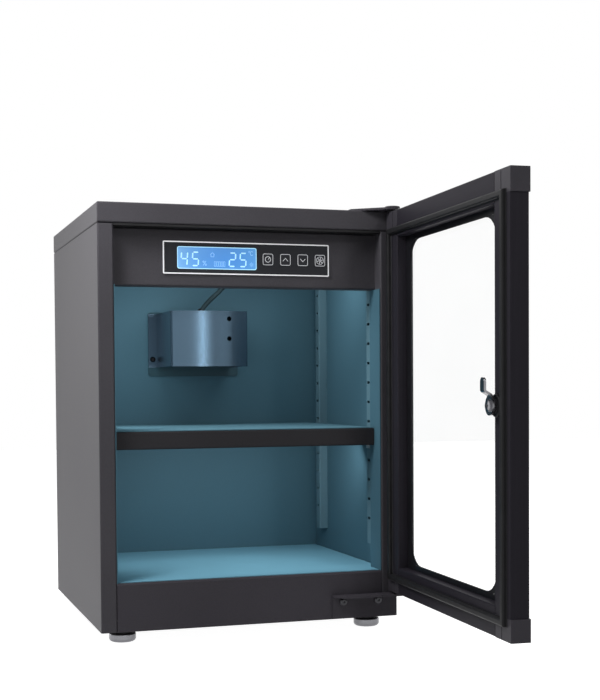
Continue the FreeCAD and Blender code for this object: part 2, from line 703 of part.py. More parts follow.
def controls():
    y = FASCIA_Y
    path = [(y + FASCIA_RETURN, FASCIA_Z), (y, FASCIA_Z), (y, FASCIA_TOP),
            (y + FASCIA_RETURN / 2, FASCIA_TOP)]
    fascia = folded(path, SHEET, "side", -OPENING_HALF, 2 * OPENING_HALF, -1)
    x0, x1 = PANEL_X - PANEL_W / 2, PANEL_X + PANEL_W / 2
    z0, z1 = PANEL_Z - PANEL_H / 2, PANEL_Z + PANEL_H / 2
    rim = TRIM_W + KEY_FLANGE
    fascia = fascia.cut(box(x0 + rim, x1 - rim, y - 1, y + 2 * SHEET, z0 + rim, z1 - rim))
    add("fascia", fascia)
    add("landing_strip", box(-OPENING_HALF, OPENING_HALF, FRONT, FRONT + STRIP_D, FASCIA_TOP,
                             COVER_Z))
    add("panel_trim", ring(x0, x1, z0, z1, TRIM_W, TRIM_W, PANEL_Y - TRIM_PROUD,
                           PANEL_T + TRIM_PROUD))
    overlay = frame_outline(x0 + TRIM_W, x1 - TRIM_W, z0 + TRIM_W, z1 - TRIM_W, 0, PANEL_Y,
                            PANEL_T)
    lcd = (LCD_X - LCD_W / 2, LCD_X + LCD_W / 2, PANEL_Z - LCD_H / 2, PANEL_Z + LCD_H / 2)
    overlay = overlay.cut(frame_outline(*lcd, KEY_RADIUS, PANEL_Y - 1, PANEL_T + 2))
    add("lcd_glass", frame_outline(*lcd, KEY_RADIUS, PANEL_Y, LCD_GLASS_T))
    module = (lcd[0] - MODULE_RIM, lcd[1] + MODULE_RIM, lcd[2] - KEY_RADIUS / 2,
              lcd[3] + KEY_RADIUS / 2)
    display = box(module[0], module[1], PANEL_Y + LCD_GLASS_T, PCB_Y, module[2], module[3])
    switches = []
    for i, x in enumerate(key_centres()):
        overlay = overlay.cut(frame_outline(
            x - KEY_W / 2 - KEY_PLAY, x + KEY_W / 2 + KEY_PLAY, PANEL_Z - KEY_H / 2 - KEY_PLAY,
            PANEL_Z + KEY_H / 2 + KEY_PLAY, KEY_RADIUS + KEY_PLAY, PANEL_Y - 1, PANEL_T + 2))
        add(f"key_{i + 1}", key(x))
        half = SWITCH_W / 2
        switches.append(box(x - half, x + half, PCB_Y - SWITCH_T, PCB_Y, PANEL_Z - half,
                            PANEL_Z + half))
    add("panel_overlay", overlay)
    board = box(x0 + rim, x1 - rim, PCB_Y, PCB_Y + PCB_T, z0, z1)
    add("control_board", board.fuse(switches).removeSplitter(), display)
    control_box(x0 + rim, x1 - rim)


def key(x):
    """Push key: a rounded face, a retaining edge behind the overlay and a plunger."""
    face = frame_outline(x - KEY_W / 2, x + KEY_W / 2, PANEL_Z - KEY_H / 2, PANEL_Z + KEY_H / 2,
                         KEY_RADIUS, PANEL_Y - KEY_PROUD, KEY_PROUD + PANEL_T + 2 * KEY_PLAY)
    front_rim = [edge for edge in face.Edges if edge.BoundBox.YMax < PANEL_Y - KEY_PROUD + TOUCH]
    face = face.makeFillet(KEY_EDGE_R, front_rim)
    grip = KEY_PLAY + KEY_FLANGE
    flange_y = FASCIA_Y + KEY_PLAY
    flange = frame_outline(x - KEY_W / 2 - grip, x + KEY_W / 2 + grip, PANEL_Z - KEY_H / 2 - grip,
                           PANEL_Z + KEY_H / 2 + grip, KEY_RADIUS, flange_y, KEY_FLANGE_T)
    reach = PCB_Y - SWITCH_T - KEY_STROKE - KEY_PLAY
    plunger = disc(SWITCH_W / 2, reach - flange_y, x, flange_y, PANEL_Z, V(0, 1, 0))
    return face.fuse([flange, plunger]).removeSplitter()


def control_box(board_x0, board_x1):
    """Moulded box behind the fascia, open towards it, with ribs that hold the board."""
    x0, x1 = PANEL_X - TRAY_W / 2, PANEL_X + TRAY_W / 2
    y0, y1 = FASCIA_Y + SHEET, FASCIA_Y + SHEET + TRAY_D
    z0, z1 = PANEL_Z - TRAY_H / 2, PANEL_Z + TRAY_H / 2
    tray = frame_outline(x0, x1, z0, z1, KEY_RADIUS, y0, TRAY_D)
    hollow = frame_outline(x0 + TRAY_WALL, x1 - TRAY_WALL, z0 + TRAY_WALL, z1 - TRAY_WALL,
                           KEY_RADIUS / 2, y0 - 1, TRAY_D - TRAY_WALL + 1)
    tray = tray.cut(hollow)
    ribs = [box(a, b, PCB_Y + PCB_T, y1 - TRAY_WALL / 2, z0 + TRAY_WALL / 2, z1 - TRAY_WALL / 2)
            for a, b in ((board_x0, board_x0 + TRAY_WALL), (board_x1 - TRAY_WALL, board_x1))]
    tray = tray.fuse(ribs).removeSplitter()
    end = cable_route()[-1]
    tray = drilled(tray, [V(end.x, y1, end.z)], BUSHING_R - BUSHING_LIP, V(0, 1, 0))
    add("control_box", tray)


# ---------------------------------------------------------------- drying unit
def dryer_outline(depth_shift, height, z):
    """Plan outline of the cover's body, moved in by depth_shift from its skin."""
    x0, x1 = DRYER_X - DRYER_W / 2 + depth_shift, DRYER_X + DRYER_W / 2 - depth_shift
    y0, y1 = DRYER_WALL - DRYER_D + depth_shift, DRYER_WALL
    bow = [(x0, y0), (DRYER_X, y0 - DRYER_BOW), (x1, y0)]
    edges = [bow, ((x1, y0), (x1, y1)), ((x1, y1), (x0, y1)), ((x0, y1), (x0, y0))]
    solid = face_of(edges, "plan", z).extrude(V(0, 0, height))
    bends = [edge for edge in solid.Edges
             if edge.BoundBox.ZLength > height / 2 and edge.BoundBox.YMax < y0 + 1]
    return solid.makeFillet(DRYER_BEND - min(depth_shift, DRYER_BEND - 1), bends)


def dryer():
    skin = dryer_outline(0, DRYER_H, DRYER_Z)
    hollow = dryer_outline(DRYER_SHEET, DRYER_H, DRYER_Z - DRYER_SHEET)
    x0, x1 = DRYER_X - DRYER_W / 2, DRYER_X + DRYER_W / 2
    rear = box(x0 + DRYER_SHEET, x1 - DRYER_SHEET, DRYER_WALL - DRYER_BEND, DRYER_WALL + 1,
               DRYER_Z - 1, DRYER_Z + DRYER_H - DRYER_SHEET)
    ears = [box(a, b, DRYER_WALL - DRYER_SHEET, DRYER_WALL, DRYER_Z, DRYER_Z + DRYER_H)
            for a, b in ((x0 - DRYER_EAR, x0 + DRYER_SHEET / 2),
                         (x1 - DRYER_SHEET / 2, x1 + DRYER_EAR))]
    cover = skin.cut([hollow, rear]).fuse(ears).removeSplitter()
    hole_x, middle = x1 - DRYER_HOLE_IN, DRYER_Z + DRYER_H / 2 + DRYER_HOLE_PITCH / 2
    for z in (middle - DRYER_HOLE_PITCH / 2, middle + DRYER_HOLE_PITCH / 2):
        cover = cover.cut(disc(DRYER_HOLE_R, DRYER_D, hole_x,
                               DRYER_WALL - DRYER_BOW - DRYER_D * 3 / 2, z, V(0, 1, 0)))
    cover = drilled(cover, [cable_exit()], BUSHING_R - BUSHING_LIP, V(0, 0, 1))
    ear_screws = [(x0 - DRYER_EAR / 2, DRYER_Z + DRYER_EAR), (x1 + DRYER_EAR / 2,
                  DRYER_Z + DRYER_H - DRYER_EAR)]
    holes = [V(x, DRYER_WALL, z) for x, z in ear_screws]
    add("dryer_cover", drilled(cover, holes, SCREW_R, V(0, 1, 0)))
    window = PELTIER / 2 + PELTIER_PLAY
    x, z = DRYER_X, DRYER_Z + DRYER_H / 2
    plate = frame_outline(x0 - DRYER_EAR, x1 + DRYER_EAR, DRYER_Z - PLATE_DROP,
                          DRYER_Z + DRYER_H + PLATE_T, DRYER_BEND, DRYER_WALL, PLATE_T)
    plate = plate.cut(box(x - window, x + window, DRYER_WALL - 1, WALL_BACK + 1, z - window,
                          z + window))
    add("dryer_plate", drilled(plate, holes, SCREW_R, V(0, 1, 0)))
    add("case_screws", *[pan_screw(a, DRYER_WALL - DRYER_SHEET, b, V(0, -1, 0),
                                   DRYER_SHEET + PLATE_T) for a, b in ear_screws])
    module = DRYER_WALL
    add("peltier_module", box(x - PELTIER / 2, x + PELTIER / 2, module, module + PELTIER_T,
                              z - PELTIER / 2, z + PELTIER / 2))
    add("cold_sink", fin_block(x, z, SINK_W, SINK_W, module, COLD_FIN_D, SINK_FIN_COUNT, -1))
    add("hot_sink", fin_block(x, z, HOT_W, HOT_H, module + PELTIER_T, HOT_FIN_D, HOT_FIN_COUNT,
                              1))


def fin_block(x, z, width, height, y, fin_d, count, way):
    """Extruded heat sink: a base against the module and a comb of upright fins."""
    base_end, fin_end = y + way * SINK_BASE, y + way * (SINK_BASE + fin_d)
    points = [(x - width / 2, y), (x + width / 2, y), (x + width / 2, base_end)]
    step = (width - SINK_FIN_T) / (count - 1)
    for i in reversed(range(count)):
        left = x - width / 2 + i * step
        points += [(left + SINK_FIN_T, base_end), (left + SINK_FIN_T, fin_end),
                   (left, fin_end), (left, base_end)]
    outline = [p for i, p in enumerate(points) if i == 0 or math.dist(p, points[i - 1]) > 1e-6]
    return prism(outline, "plan", z - height / 2, height)


def cable_exit():
    """Where the cable passes the top of the drying unit's cover."""
    return V(DRYER_X - CABLE_R / 2, DRYER_WALL - CABLE_OUT, DRYER_Z + DRYER_H)


def leaning(angle):
    """Direction in the plane of the back wall, leaning to the right of upright."""
    return V(math.sin(math.radians(angle)), 0, math.cos(math.radians(angle)))


def cable_route():
    """Points of the cable from the drying unit's cover, up and under the ceiling, to the
    control box."""
    leave = cable_exit()
    end_y = FASCIA_Y + SHEET + TRAY_D - TRAY_WALL
    end_z, under = PANEL_Z + CABLE_END_UP, CEILING - CABLE_UNDER
    sway = CABLE_END_X + CABLE_SWAY
    bend = leave + leaning(CABLE_SLANT) * CABLE_RISE

    def along(share):
        return leave.y + share * (end_y - leave.y)

    turns = [(sway - CABLE_R, under - CABLE_UNDER), (sway, under), (sway + CABLE_R / 2, under),
             (CABLE_END_X + CABLE_SWAY / 2, under - CABLE_UNDER / 2), (CABLE_END_X, end_z)]
    return [leave - leaning(CABLE_SLANT) * CABLE_TAIL, bend,
            bend + leaning(CABLE_TILT) * CABLE_LEAN,
            *[V(x, along(share), z) for share, (x, z) in zip(CABLE_STAGES, turns)],
            V(CABLE_END_X, end_y, end_z)]


def cable():
    """Round cable: straight runs joined by tangent arcs, as large as the runs allow."""
    points = cable_route()
    edges, last = [], points[0]
    for before, here, after in zip(points, points[1:], points[2:]):
        back, ahead = before - here, after - here
        shorter = min(back.Length, ahead.Length)
        back.normalize()
        ahead.normalize()
        turn = math.pi - math.acos(max(-1.0, min(1.0, back.dot(ahead))))
        reach = CABLE_TURN_SHARE * shorter
        radius = reach / math.tan(turn / 2)
        print(f"cable bend radius {radius:.1f}")
        middle = (back + ahead).normalize()
        centre = here + middle * (radius / math.cos(turn / 2))
        first, end = here + back * reach, here + ahead * reach
        edges.append(Part.makeLine(last, first))
        edges.append(Part.Arc(first, centre - middle * radius, end).toShape())
        last = end
    edges.append(Part.makeLine(last, points[-1]))
    path = Part.Wire(edges)
    section = Part.Wire(Part.makeCircle(CABLE_R, points[0], points[1] - points[0]))
    tube = path.makePipeShell([section], True, True)
    print(f"cable length {path.Length:.1f}, volume error "
          f"{tube.Volume / (math.pi * CABLE_R ** 2 * path.Length) - 1:.4f}")
    add("dryer_cable", tube)
    end = V(points[-1].x, FASCIA_Y + SHEET + TRAY_D, points[-1].z)
    add("cable_fixings", bushing(cable_exit(), V(0, 0, 1), leaning(CABLE_SLANT), DRYER_SHEET),
        bushing(end, V(0, 1, 0), V(0, 1, 0), TRAY_WALL))
    cable_saddle(points)


def bushing(place, outward, run, sheet):
    """Rubber bush in a sheet's hole: a neck, a flange and a nose along the cable's run."""
    neck_r, deep = BUSHING_R - BUSHING_LIP, sheet + BUSHING_LIP / 2
    neck = Part.makeCylinder(neck_r - BUSHING_PLAY, deep, place - outward * deep, outward)
    flange = Part.makeCylinder(BUSHING_R, BUSHING_LIP, place, outward)
    nose = Part.makeCone(neck_r, CABLE_R + BUSHING_NOSE_WALL, 2 * BUSHING_NOSE,
                         place - run * BUSHING_NOSE, run)
    outside = Part.makeCylinder(2 * BUSHING_R, THROUGH, place, outward)
    bore = Part.makeCylinder(CABLE_R + BUSHING_PLAY, 2 * THROUGH, place - run * THROUGH, run)
    return neck.fuse([flange, nose.common(outside)]).cut(bore).removeSplitter()


def cable_saddle(points):
    """Saddle under the ceiling that carries the cable's level stretch."""
    start, end = points[4], points[5]
    middle = (start + end) / 2
    wide, deep = CABLE_R + SADDLE_WALL, SADDLE_W / 2
    block = box(middle.x - wide, middle.x + wide, middle.y - deep, middle.y + deep,
                middle.z - wide, CEILING)
    run = (end - start).normalize()
    bore = Part.makeCylinder(CABLE_R + PIN_PLAY, 2 * SADDLE_W, middle - run * SADDLE_W, run)
    add("cable_fixings", block.cut(bore))


# ---------------------------------------------------------------- rear space
def rear_space():
    """Supply board on stand-offs behind the chamber, the inlet jack and the screws."""
    y = WALL_BACK + LINER
    z0, x0 = BASE + BOARD_UP, JACK_X - BOARD_W / 4
    face = y + STANDOFF + PCB_T
    board = box(x0, x0 + BOARD_W, y + STANDOFF, face, z0, z0 + BOARD_H)
    pegs = [disc(BIG_SCREW_R, STANDOFF, x0 + a, y, z0 + b, V(0, 1, 0))
            for a in (BOARD_EDGE, BOARD_W - BOARD_EDGE)
            for b in (BOARD_EDGE, BOARD_H - BOARD_EDGE)]
    w, h = BOARD_W, BOARD_H
    blocks = [box(x0 + a * w, x0 + b * w, face, face + tall * PART_TALL, z0 + low * h,
                  z0 + high * h) for a, b, low, high, tall in BOARD_BLOCKS]
    cans = [disc(radius * h, tall * PART_TALL, x0 + across * w, face, z0 + up * h, V(0, 1, 0))
            for across, up, radius, tall in BOARD_CANS]
    add("power_board", board, *pegs, *blocks, *cans)
    jack_z = BASE + JACK_UP
    deep = BACK - JACK_D
    barrel = disc(JACK_R, JACK_D, JACK_X, deep, jack_z, V(0, 1, 0))
    collar = disc(JACK_NUT_R, JACK_NUT_T, JACK_X, BACK, jack_z, V(0, 1, 0))
    socket = disc(JACK_BORE_R, JACK_D, JACK_X, deep + JACK_FLOOR, jack_z, V(0, 1, 0))
    pin = disc(JACK_PIN_R, JACK_D - JACK_FLOOR / 2, JACK_X, deep + JACK_FLOOR / 2, jack_z,
               V(0, 1, 0))
    add("inlet_jack", barrel.fuse(collar).cut(socket).fuse(pin).removeSplitter())
    add("case_screws", *[pan_screw(a, BACK, b, V(0, 1, 0), 2 * SHEET) for a, b in back_screws()])


def humidity_probe():
    """Slotted sensor cap on the underside of the control box."""
    x, z = PANEL_X + PROBE_X, PANEL_Z - TRAY_H / 2
    y, w, d = FASCIA_Y + SHEET + PROBE_BACK, PROBE_W / 2, PROBE_D / 2
    cap = frame_plan(x - w, x + w, y - d, y + d, z - PROBE_H, PROBE_H, PROBE_ROUND)
    slots = []
    for i in range(PROBE_SLOTS):
        middle = x + (i - (PROBE_SLOTS - 1) / 2) * PROBE_PITCH
        slots.append(box(middle - PROBE_SLOT_W / 2, middle + PROBE_SLOT_W / 2, y - PROBE_D,
                         y + PROBE_D, z - 2 * PROBE_H, z - PROBE_CROWN))
    add("humidity_probe", cap.cut(slots))


# ---------------------------------------------------------------- hinges
def bracket_screws():
    x = RIGHT - HINGE_SCREW_IN
    z = DOOR_Z - HINGE_UNDER - HINGE_SCREW_DOWN
    return [(x - HINGE_SCREW_PITCH, z), (x, z)]


def plate_screws():
    x, y = RIGHT - HINGE_TOP_SCREW_IN, FRONT + HINGE_TOP_SCREW
    return [(x - HINGE_TOP_SCREW_PITCH, y), (x, y)]


def hinges():
    reach = PIVOT.y - HINGE_REACH
    nose, left = reach + HINGE_NOSE_SET, RIGHT - HINGE_TOP_W
    points = [(left, FRONT + HINGE_TOP_BACK), (left, FRONT + HINGE_TOP_SIDE),
              (PIVOT.x - PIN_HEAD_R, nose), (RIGHT, nose), (RIGHT, FRONT + HINGE_TOP_BACK)]
    small, large = HINGE_ROUND, HINGE_NOSE_ROUND
    plate = prism(points, "plan", TOP, HINGE_T, [small, small, large, large, small])
    plate = plate.cut(disc(PIN_R, THROUGH, PIVOT.x, PIVOT.y, TOP - HINGE_T))
    holes = [V(x, y, TOP) for x, y in plate_screws()]
    add("hinge_plate_top", drilled(plate, holes, SCREW_R, V(0, 0, 1)))
    leg, left = DOOR_Z - HINGE_UNDER, RIGHT - HINGE_W
    path = [(FRONT, leg - HINGE_H), (FRONT, leg), (reach, leg)]
    bracket = folded(path, HINGE_T, "side", left, HINGE_W)
    corner = prism([(left - 1, reach - 1), (left + HINGE_CUT, reach - 1),
                    (left - 1, FRONT - 2 * HINGE_T)], "plan", leg - HINGE_H, 2 * HINGE_H)
    bracket = bracket.cut([corner, disc(PIN_R, THROUGH, PIVOT.x, PIVOT.y, leg - THROUGH / 2)])
    holes = [V(x, FRONT, z) for x, z in bracket_screws()]
    add("hinge_bracket_bottom", drilled(bracket, holes, BIG_SCREW_R, V(0, 1, 0)))
    upper = disc(PIN_R, TOP + HINGE_T - DOOR_TOP + PIN_DEPTH, PIVOT.x, PIVOT.y,
                 DOOR_TOP - PIN_DEPTH)
    head = disc(PIN_HEAD_R, PIN_HEAD_H, PIVOT.x, PIVOT.y, TOP + HINGE_T)
    rim = [edge for edge in head.Edges if edge.BoundBox.ZMin > TOP + HINGE_T + PIN_HEAD_H - TOUCH]
    head = head.makeFillet(PIN_HEAD_ROUND, rim)
    lower = disc(PIN_R, DOOR_Z + PIN_DEPTH - leg + HINGE_T, PIVOT.x, PIVOT.y, leg - HINGE_T)
    add("hinge_pins", upper.fuse(head).removeSplitter(), lower)
    screws = [pan_screw(x, FRONT - HINGE_T, z, V(0, -1, 0), HINGE_T + SHEET, BIG_SCREW_HEAD_R,
                        BIG_SCREW_HEAD_H, BIG_SCREW_R) for x, z in bracket_screws()]
    screws += [pan_screw(x, y, TOP + HINGE_T, V(0, 0, 1), HINGE_T + SHEET)
               for x, y in plate_screws()]
    add("case_screws", *screws)


# ---------------------------------------------------------------- door, built shut
def frame_section(width, glass_edge):
    """Outline of the door's profile: x in from the door's edge, y from the inner face
    (0) to the outer face (-DOOR_T). The glass slides into the slot."""
    slot = -GLASS_SET
    back = -(GLASS_SET + BORDER_T + GLASS_T + GLASS_PLAY / 4)
    return [(0, 0), (width, 0), (width, slot), (glass_edge, slot), (glass_edge, back),
            (width, back), (width, -DOOR_T), (0, -DOOR_T)]


SECTION_R = [DOOR_EDGE_R, DOOR_EDGE_R, 0, 0, 0, 0, DOOR_EDGE_R, DOOR_EDGE_R]


def door_x0():
    return LEFT + CAP_PROUD


def door_x1():
    return RIGHT - CAP_PROUD


def stile_points():
    edge = DOOR_STILE_W - GLASS_SEAT - GLASS_PLAY
    return [(door_x0() + u, INNER_Y + v) for u, v in frame_section(DOOR_STILE_W, edge)]


def stile_cavities(z, height):
    """The two hollow chambers of the stile's profile."""
    x0, t = door_x0(), DOOR_WALL
    edge = DOOR_STILE_W - GLASS_SEAT - GLASS_PLAY
    floor = GASKET_ROOT + GASKET_PLAY + t
    outer = box(x0 + t, x0 + edge - t, INNER_Y - DOOR_T + t, INNER_Y - floor, z, z + height)
    inner = box(x0 + edge + t / 2, x0 + DOOR_STILE_W - t, INNER_Y - GLASS_SET + t, INNER_Y - t,
                z, z + height)
    return [outer, inner]


def gasket_channel():
    half = GASKET_W / 2 + GASKET_PLAY
    x0, x1 = LEFT + GASKET_SIDE - half, RIGHT - GASKET_SIDE + half
    z0, z1 = DOOR_Z + GASKET_BOTTOM - half, DOOR_TOP - GASKET_TOP + half
    depth = GASKET_ROOT + GASKET_PLAY
    return ring(x0, x1, z0, z1, 2 * half, 0, INNER_Y - depth, depth + 1)


def stile_lines(z, height):
    """Fine grooves drawn along the stile's inner face."""
    x = LEFT + GASKET_SIDE + GASKET_W / 2 + BEAD_IN
    return box(x, x + BEAD_LINE, INNER_Y - BEAD_LINE, INNER_Y + 1, z, z + height)


def lock_hole(radius):
    return disc(radius, 2 * DOOR_T, LOCK_X, INNER_Y - 3 * DOOR_T / 2, LOCK_Z, V(0, 1, 0))


def door_stiles(channel):
    z0, height = DOOR_Z + CAP_BOTTOM_H, DOOR_H - CAP_BOTTOM_H - CAP_TOP_H
    solid = prism(stile_points(), "plan", z0, height, SECTION_R)
    solid = solid.cut(stile_cavities(z0 - 1, height + 2) + [stile_lines(z0 - 1, height + 2)])
    solid = solid.cut(channel)
    add("door_stile_free", solid.cut(lock_hole(BARREL_R)))
    add("door_stile_hinge", mirrored(solid))


def door_caps(channel):
    """Moulded end caps: a plug in the stile's hollows, the stile's outline above it, and a
    skin that stands proud of the stile on the edge and the outer face."""
    caps = {}
    for name, z0, height, plug_z in (
            ("bottom", DOOR_Z, CAP_BOTTOM_H, DOOR_Z + CAP_BOTTOM_H),
            ("top", DOOR_TOP - CAP_TOP_H, CAP_TOP_H, DOOR_TOP - CAP_TOP_H - PIN_DEPTH)):
        core = prism(stile_points(), "plan", z0, height, SECTION_R)
        skin = box(LEFT, door_x0() + DOOR_STILE_W, OUTER_Y - CAP_PROUD, OUTER_Y + DOOR_WALL, z0,
                   z0 + height)
        edge = box(LEFT, door_x0() + DOOR_WALL, OUTER_Y - CAP_PROUD, INNER_Y, z0, z0 + height)
        skin = skin.fuse(edge).removeSplitter()
        sharp = [e for e in skin.Edges if e.BoundBox.ZLength > height / 2
                 and e.BoundBox.XMax < LEFT + TOUCH]
        skin = skin.makeFillet(DOOR_EDGE_R, sharp)
        plug = stile_cavities(plug_z, PIN_DEPTH)[0]
        plug = box(plug.BoundBox.XMin + PIN_PLAY, plug.BoundBox.XMax - PIN_PLAY,
                   plug.BoundBox.YMin + PIN_PLAY, plug.BoundBox.YMax - PIN_PLAY,
                   plug_z, plug_z + PIN_DEPTH)
        line = stile_lines(z0 - 1, height + 2)
        caps[name] = core.fuse([skin, plug]).cut([channel, line]).removeSplitter()
    for name, cap in caps.items():
        add("door_caps", cap)
    flange = BUSH_FLANGE_T
    for name, cap in caps.items():
        cap = mirrored(cap)
        top = name == "top"
        seat = DOOR_TOP - PIN_DEPTH - 1 if top else DOOR_Z
        bore = disc(PIN_R + PIN_PLAY + BUSH_T, PIN_DEPTH + 1, PIVOT.x, PIVOT.y, seat)
        add("door_caps", cap.cut(bore))
        bush = disc(PIN_R + PIN_PLAY + BUSH_T, PIN_DEPTH + 1, PIVOT.x, PIVOT.y, seat)
        rim = disc(PIN_R + PIN_PLAY + BUSH_T + BUSH_FLANGE, flange, PIVOT.x, PIVOT.y,
                   DOOR_TOP if top else DOOR_Z - flange)
        hole = disc(PIN_R + PIN_PLAY, PIN_DEPTH + THROUGH, PIVOT.x, PIVOT.y, seat - THROUGH / 2)
        add("hinge_bushes", bush.fuse(rim).cut(hole).removeSplitter())


def door_rails(channel):
    edge = DOOR_RAIL_W - GLASS_SEAT - GLASS_PLAY
    x0, x1 = door_x0() + DOOR_STILE_W, door_x1() - DOOR_STILE_W
    for name, z_edge, way in (("door_rail_bottom", DOOR_Z, 1), ("door_rail_top", DOOR_TOP, -1)):
        points = [(INNER_Y + v, z_edge + way * u) for u, v in frame_section(DOOR_RAIL_W, edge)]
        rail_bar = prism(points, "side", x0, x1 - x0, SECTION_R)
        inset = GASKET_BOTTOM if way > 0 else GASKET_TOP
        hollow_end = inset - GASKET_W / 2 - GASKET_PLAY - DOOR_WALL
        a, b = z_edge + way * DOOR_WALL, z_edge + way * min(hollow_end, edge - DOOR_WALL)
        hollow = box(x0 - 1, x1 + 1, OUTER_Y + DOOR_WALL, INNER_Y - DOOR_WALL, min(a, b),
                     max(a, b))
        add(name, rail_bar.cut([hollow, channel]))


def door_glazing():
    side = DOOR_STILE_W - GLASS_SEAT
    x0, x1 = door_x0() + side, door_x1() - side
    end = DOOR_RAIL_W - GLASS_SEAT
    z0, z1 = DOOR_Z + end, DOOR_TOP - end
    notch = [lock_hole(BARREL_R + GLASS_PLAY),
             box(x0 - 1, LOCK_X, INNER_Y - DOOR_T, INNER_Y, LOCK_Z - BARREL_R - GLASS_PLAY,
                 LOCK_Z + BARREL_R + GLASS_PLAY)]
    sheet_y = INNER_Y - GLASS_SET - BORDER_T
    border = frame_outline(x0, x1, z0, z1, 0, sheet_y, BORDER_T)
    window = frame_outline(LEFT + WINDOW_SIDE, RIGHT - WINDOW_SIDE, DOOR_Z + WINDOW_END,
                           DOOR_TOP - WINDOW_END, WINDOW_R, sheet_y - 1, BORDER_T + 2)
    add("door_border", border.cut([window] + notch))
    add("door_glass", frame_outline(x0, x1, z0, z1, 0, sheet_y - GLASS_T, GLASS_T).cut(notch))


def door_gasket():
    """Magnetic seal: a root in the channel and a soft rounded bead, mitred at the corners."""
    x0, x1 = LEFT + GASKET_SIDE, RIGHT - GASKET_SIDE
    z0, z1 = DOOR_Z + GASKET_BOTTOM, DOOR_TOP - GASKET_TOP
    w, root = GASKET_W / 2, INNER_Y - GASKET_ROOT
    crest = FRONT - GASKET_CLEAR
    bulb, lip = w - GASKET_LIP, INNER_Y + GASKET_LIP
    profile = [(x0 - w, root), (x0 + w, root), (x0 + w, INNER_Y), (x0 + bulb, lip),
               (x0 + bulb, crest), (x0 - bulb, crest), (x0 - bulb, lip), (x0 - w, INNER_Y)]
    radii = [0, 0, 0, 0, GASKET_CROWN_R, GASKET_CROWN_R, 0, 0]
    middle = (z0 + z1) / 2
    face = face_of(corner_edges(profile, radii, True), "plan", middle)
    path = Part.makePolygon([V(x0, root, middle), V(x0, root, z1), V(x1, root, z1),
                             V(x1, root, z0), V(x0, root, z0), V(x0, root, middle)])
    add("door_gasket", path.makePipeShell([face.OuterWire], True, False, 1))


def door_lock():
    """Cam lock: barrel through the stile, nut on the inner face, turning plug and cam."""
    out, inn = V(0, -1, 0), V(0, 1, 0)
    length = DOOR_T + CAM_STAND - BARREL_SHORT
    body = disc(BARREL_R - PIN_PLAY, length, LOCK_X, OUTER_Y, LOCK_Z, inn)
    head = disc(BARREL_HEAD_R, BARREL_HEAD_T, LOCK_X, OUTER_Y, LOCK_Z, out)
    rim = [e for e in head.Edges if e.BoundBox.YMax < OUTER_Y - BARREL_HEAD_T + TOUCH]
    head = head.makeFillet(BARREL_HEAD_ROUND, rim)
    bore = disc(PLUG_R + PLUG_PLAY, length + 2 * BARREL_HEAD_T, LOCK_X, OUTER_Y - BARREL_HEAD_T,
                LOCK_Z, inn)
    add("lock_barrel", body.fuse(head).cut(bore).removeSplitter())
    nut = disc(NUT_R, NUT_T, LOCK_X, INNER_Y, LOCK_Z, inn)
    rim = [e for e in nut.Edges if e.BoundBox.YMin > INNER_Y + NUT_T - TOUCH]
    nut = nut.makeFillet(NUT_ROUND, rim)
    groove_y = INNER_Y + NUT_T - NUT_GROOVE
    groove = disc(NUT_R - NUT_GROOVE_IN, NUT_T, LOCK_X, groove_y, LOCK_Z, inn)
    groove = groove.cut(disc(BARREL_R + 1, NUT_T, LOCK_X, groove_y, LOCK_Z, inn))
    bore = disc(BARREL_R, THROUGH, LOCK_X, INNER_Y - NUT_T, LOCK_Z, inn)
    add("lock_nut", nut.cut([groove, bore]))
    plug = disc(PLUG_R, length + BARREL_HEAD_T + BARREL_SHORT + CAM_T, LOCK_X,
                OUTER_Y - BARREL_HEAD_T, LOCK_Z, inn)
    keyway = box(LOCK_X - KEYWAY_W / 2, LOCK_X + KEYWAY_W / 2, OUTER_Y - BARREL_HEAD_T - 1,
                 OUTER_Y + DOOR_T / 2, LOCK_Z - KEYWAY_H / 2, LOCK_Z + KEYWAY_H / 2)
    cam_y = INNER_Y + CAM_STAND
    screw = pan_screw(LOCK_X, cam_y + CAM_T, LOCK_Z, inn, CAM_T, CAM_SCREW_HEAD_R,
                      CAM_SCREW_HEAD_H, CAM_SCREW_R)
    add("lock_plug", plug.cut(keyway).fuse(screw).removeSplitter())
    add("lock_cam", cam(cam_y))


def cam(y):
    """Jogged cam, shown upright: a round hub, a step away from the door and a rounded tip."""
    hub = disc(CAM_HUB_R, CAM_T, LOCK_X, y, LOCK_Z, V(0, 1, 0))
    start, end = LOCK_Z + CAM_ROOT, LOCK_Z + CAM_REACH
    step = LOCK_Z + CAM_HUB_R + 1
    path = [(y, start), (y, step), (y + CAM_JOG, step + CAM_STEP_RISE), (y + CAM_JOG, end)]
    strip = folded(path, CAM_T, "side", LOCK_X - CAM_W / 2, CAM_W, -1)
    near = y + CAM_JOG - CAM_T
    tip = disc(CAM_W / 2, THROUGH, LOCK_X, near, end - CAM_W / 2, V(0, 1, 0))
    round_end = box(LOCK_X - CAM_W, LOCK_X + CAM_W, near, near + THROUGH, end - CAM_W / 2,
                    end + CAM_W).cut(tip)
    plate = hub.fuse(strip.cut(round_end))
    bore = disc(PLUG_R, 2 * THROUGH, LOCK_X, y - THROUGH, LOCK_Z, V(0, 1, 0))
    return plate.cut(bore).removeSplitter()


def door():
    """Builds the door shut, then swings it open about its pins."""
    fixed = set(NODES)
    channel = gasket_channel()
    door_stiles(channel)
    door_caps(channel)
    door_rails(channel)
    door_glazing()
    door_gasket()
    door_lock()
    for name in NODES:
        if name not in fixed:
            for solid in NODES[name]:
                solid.rotate(PIVOT, V(0, 0, 1), DOOR_OPEN)


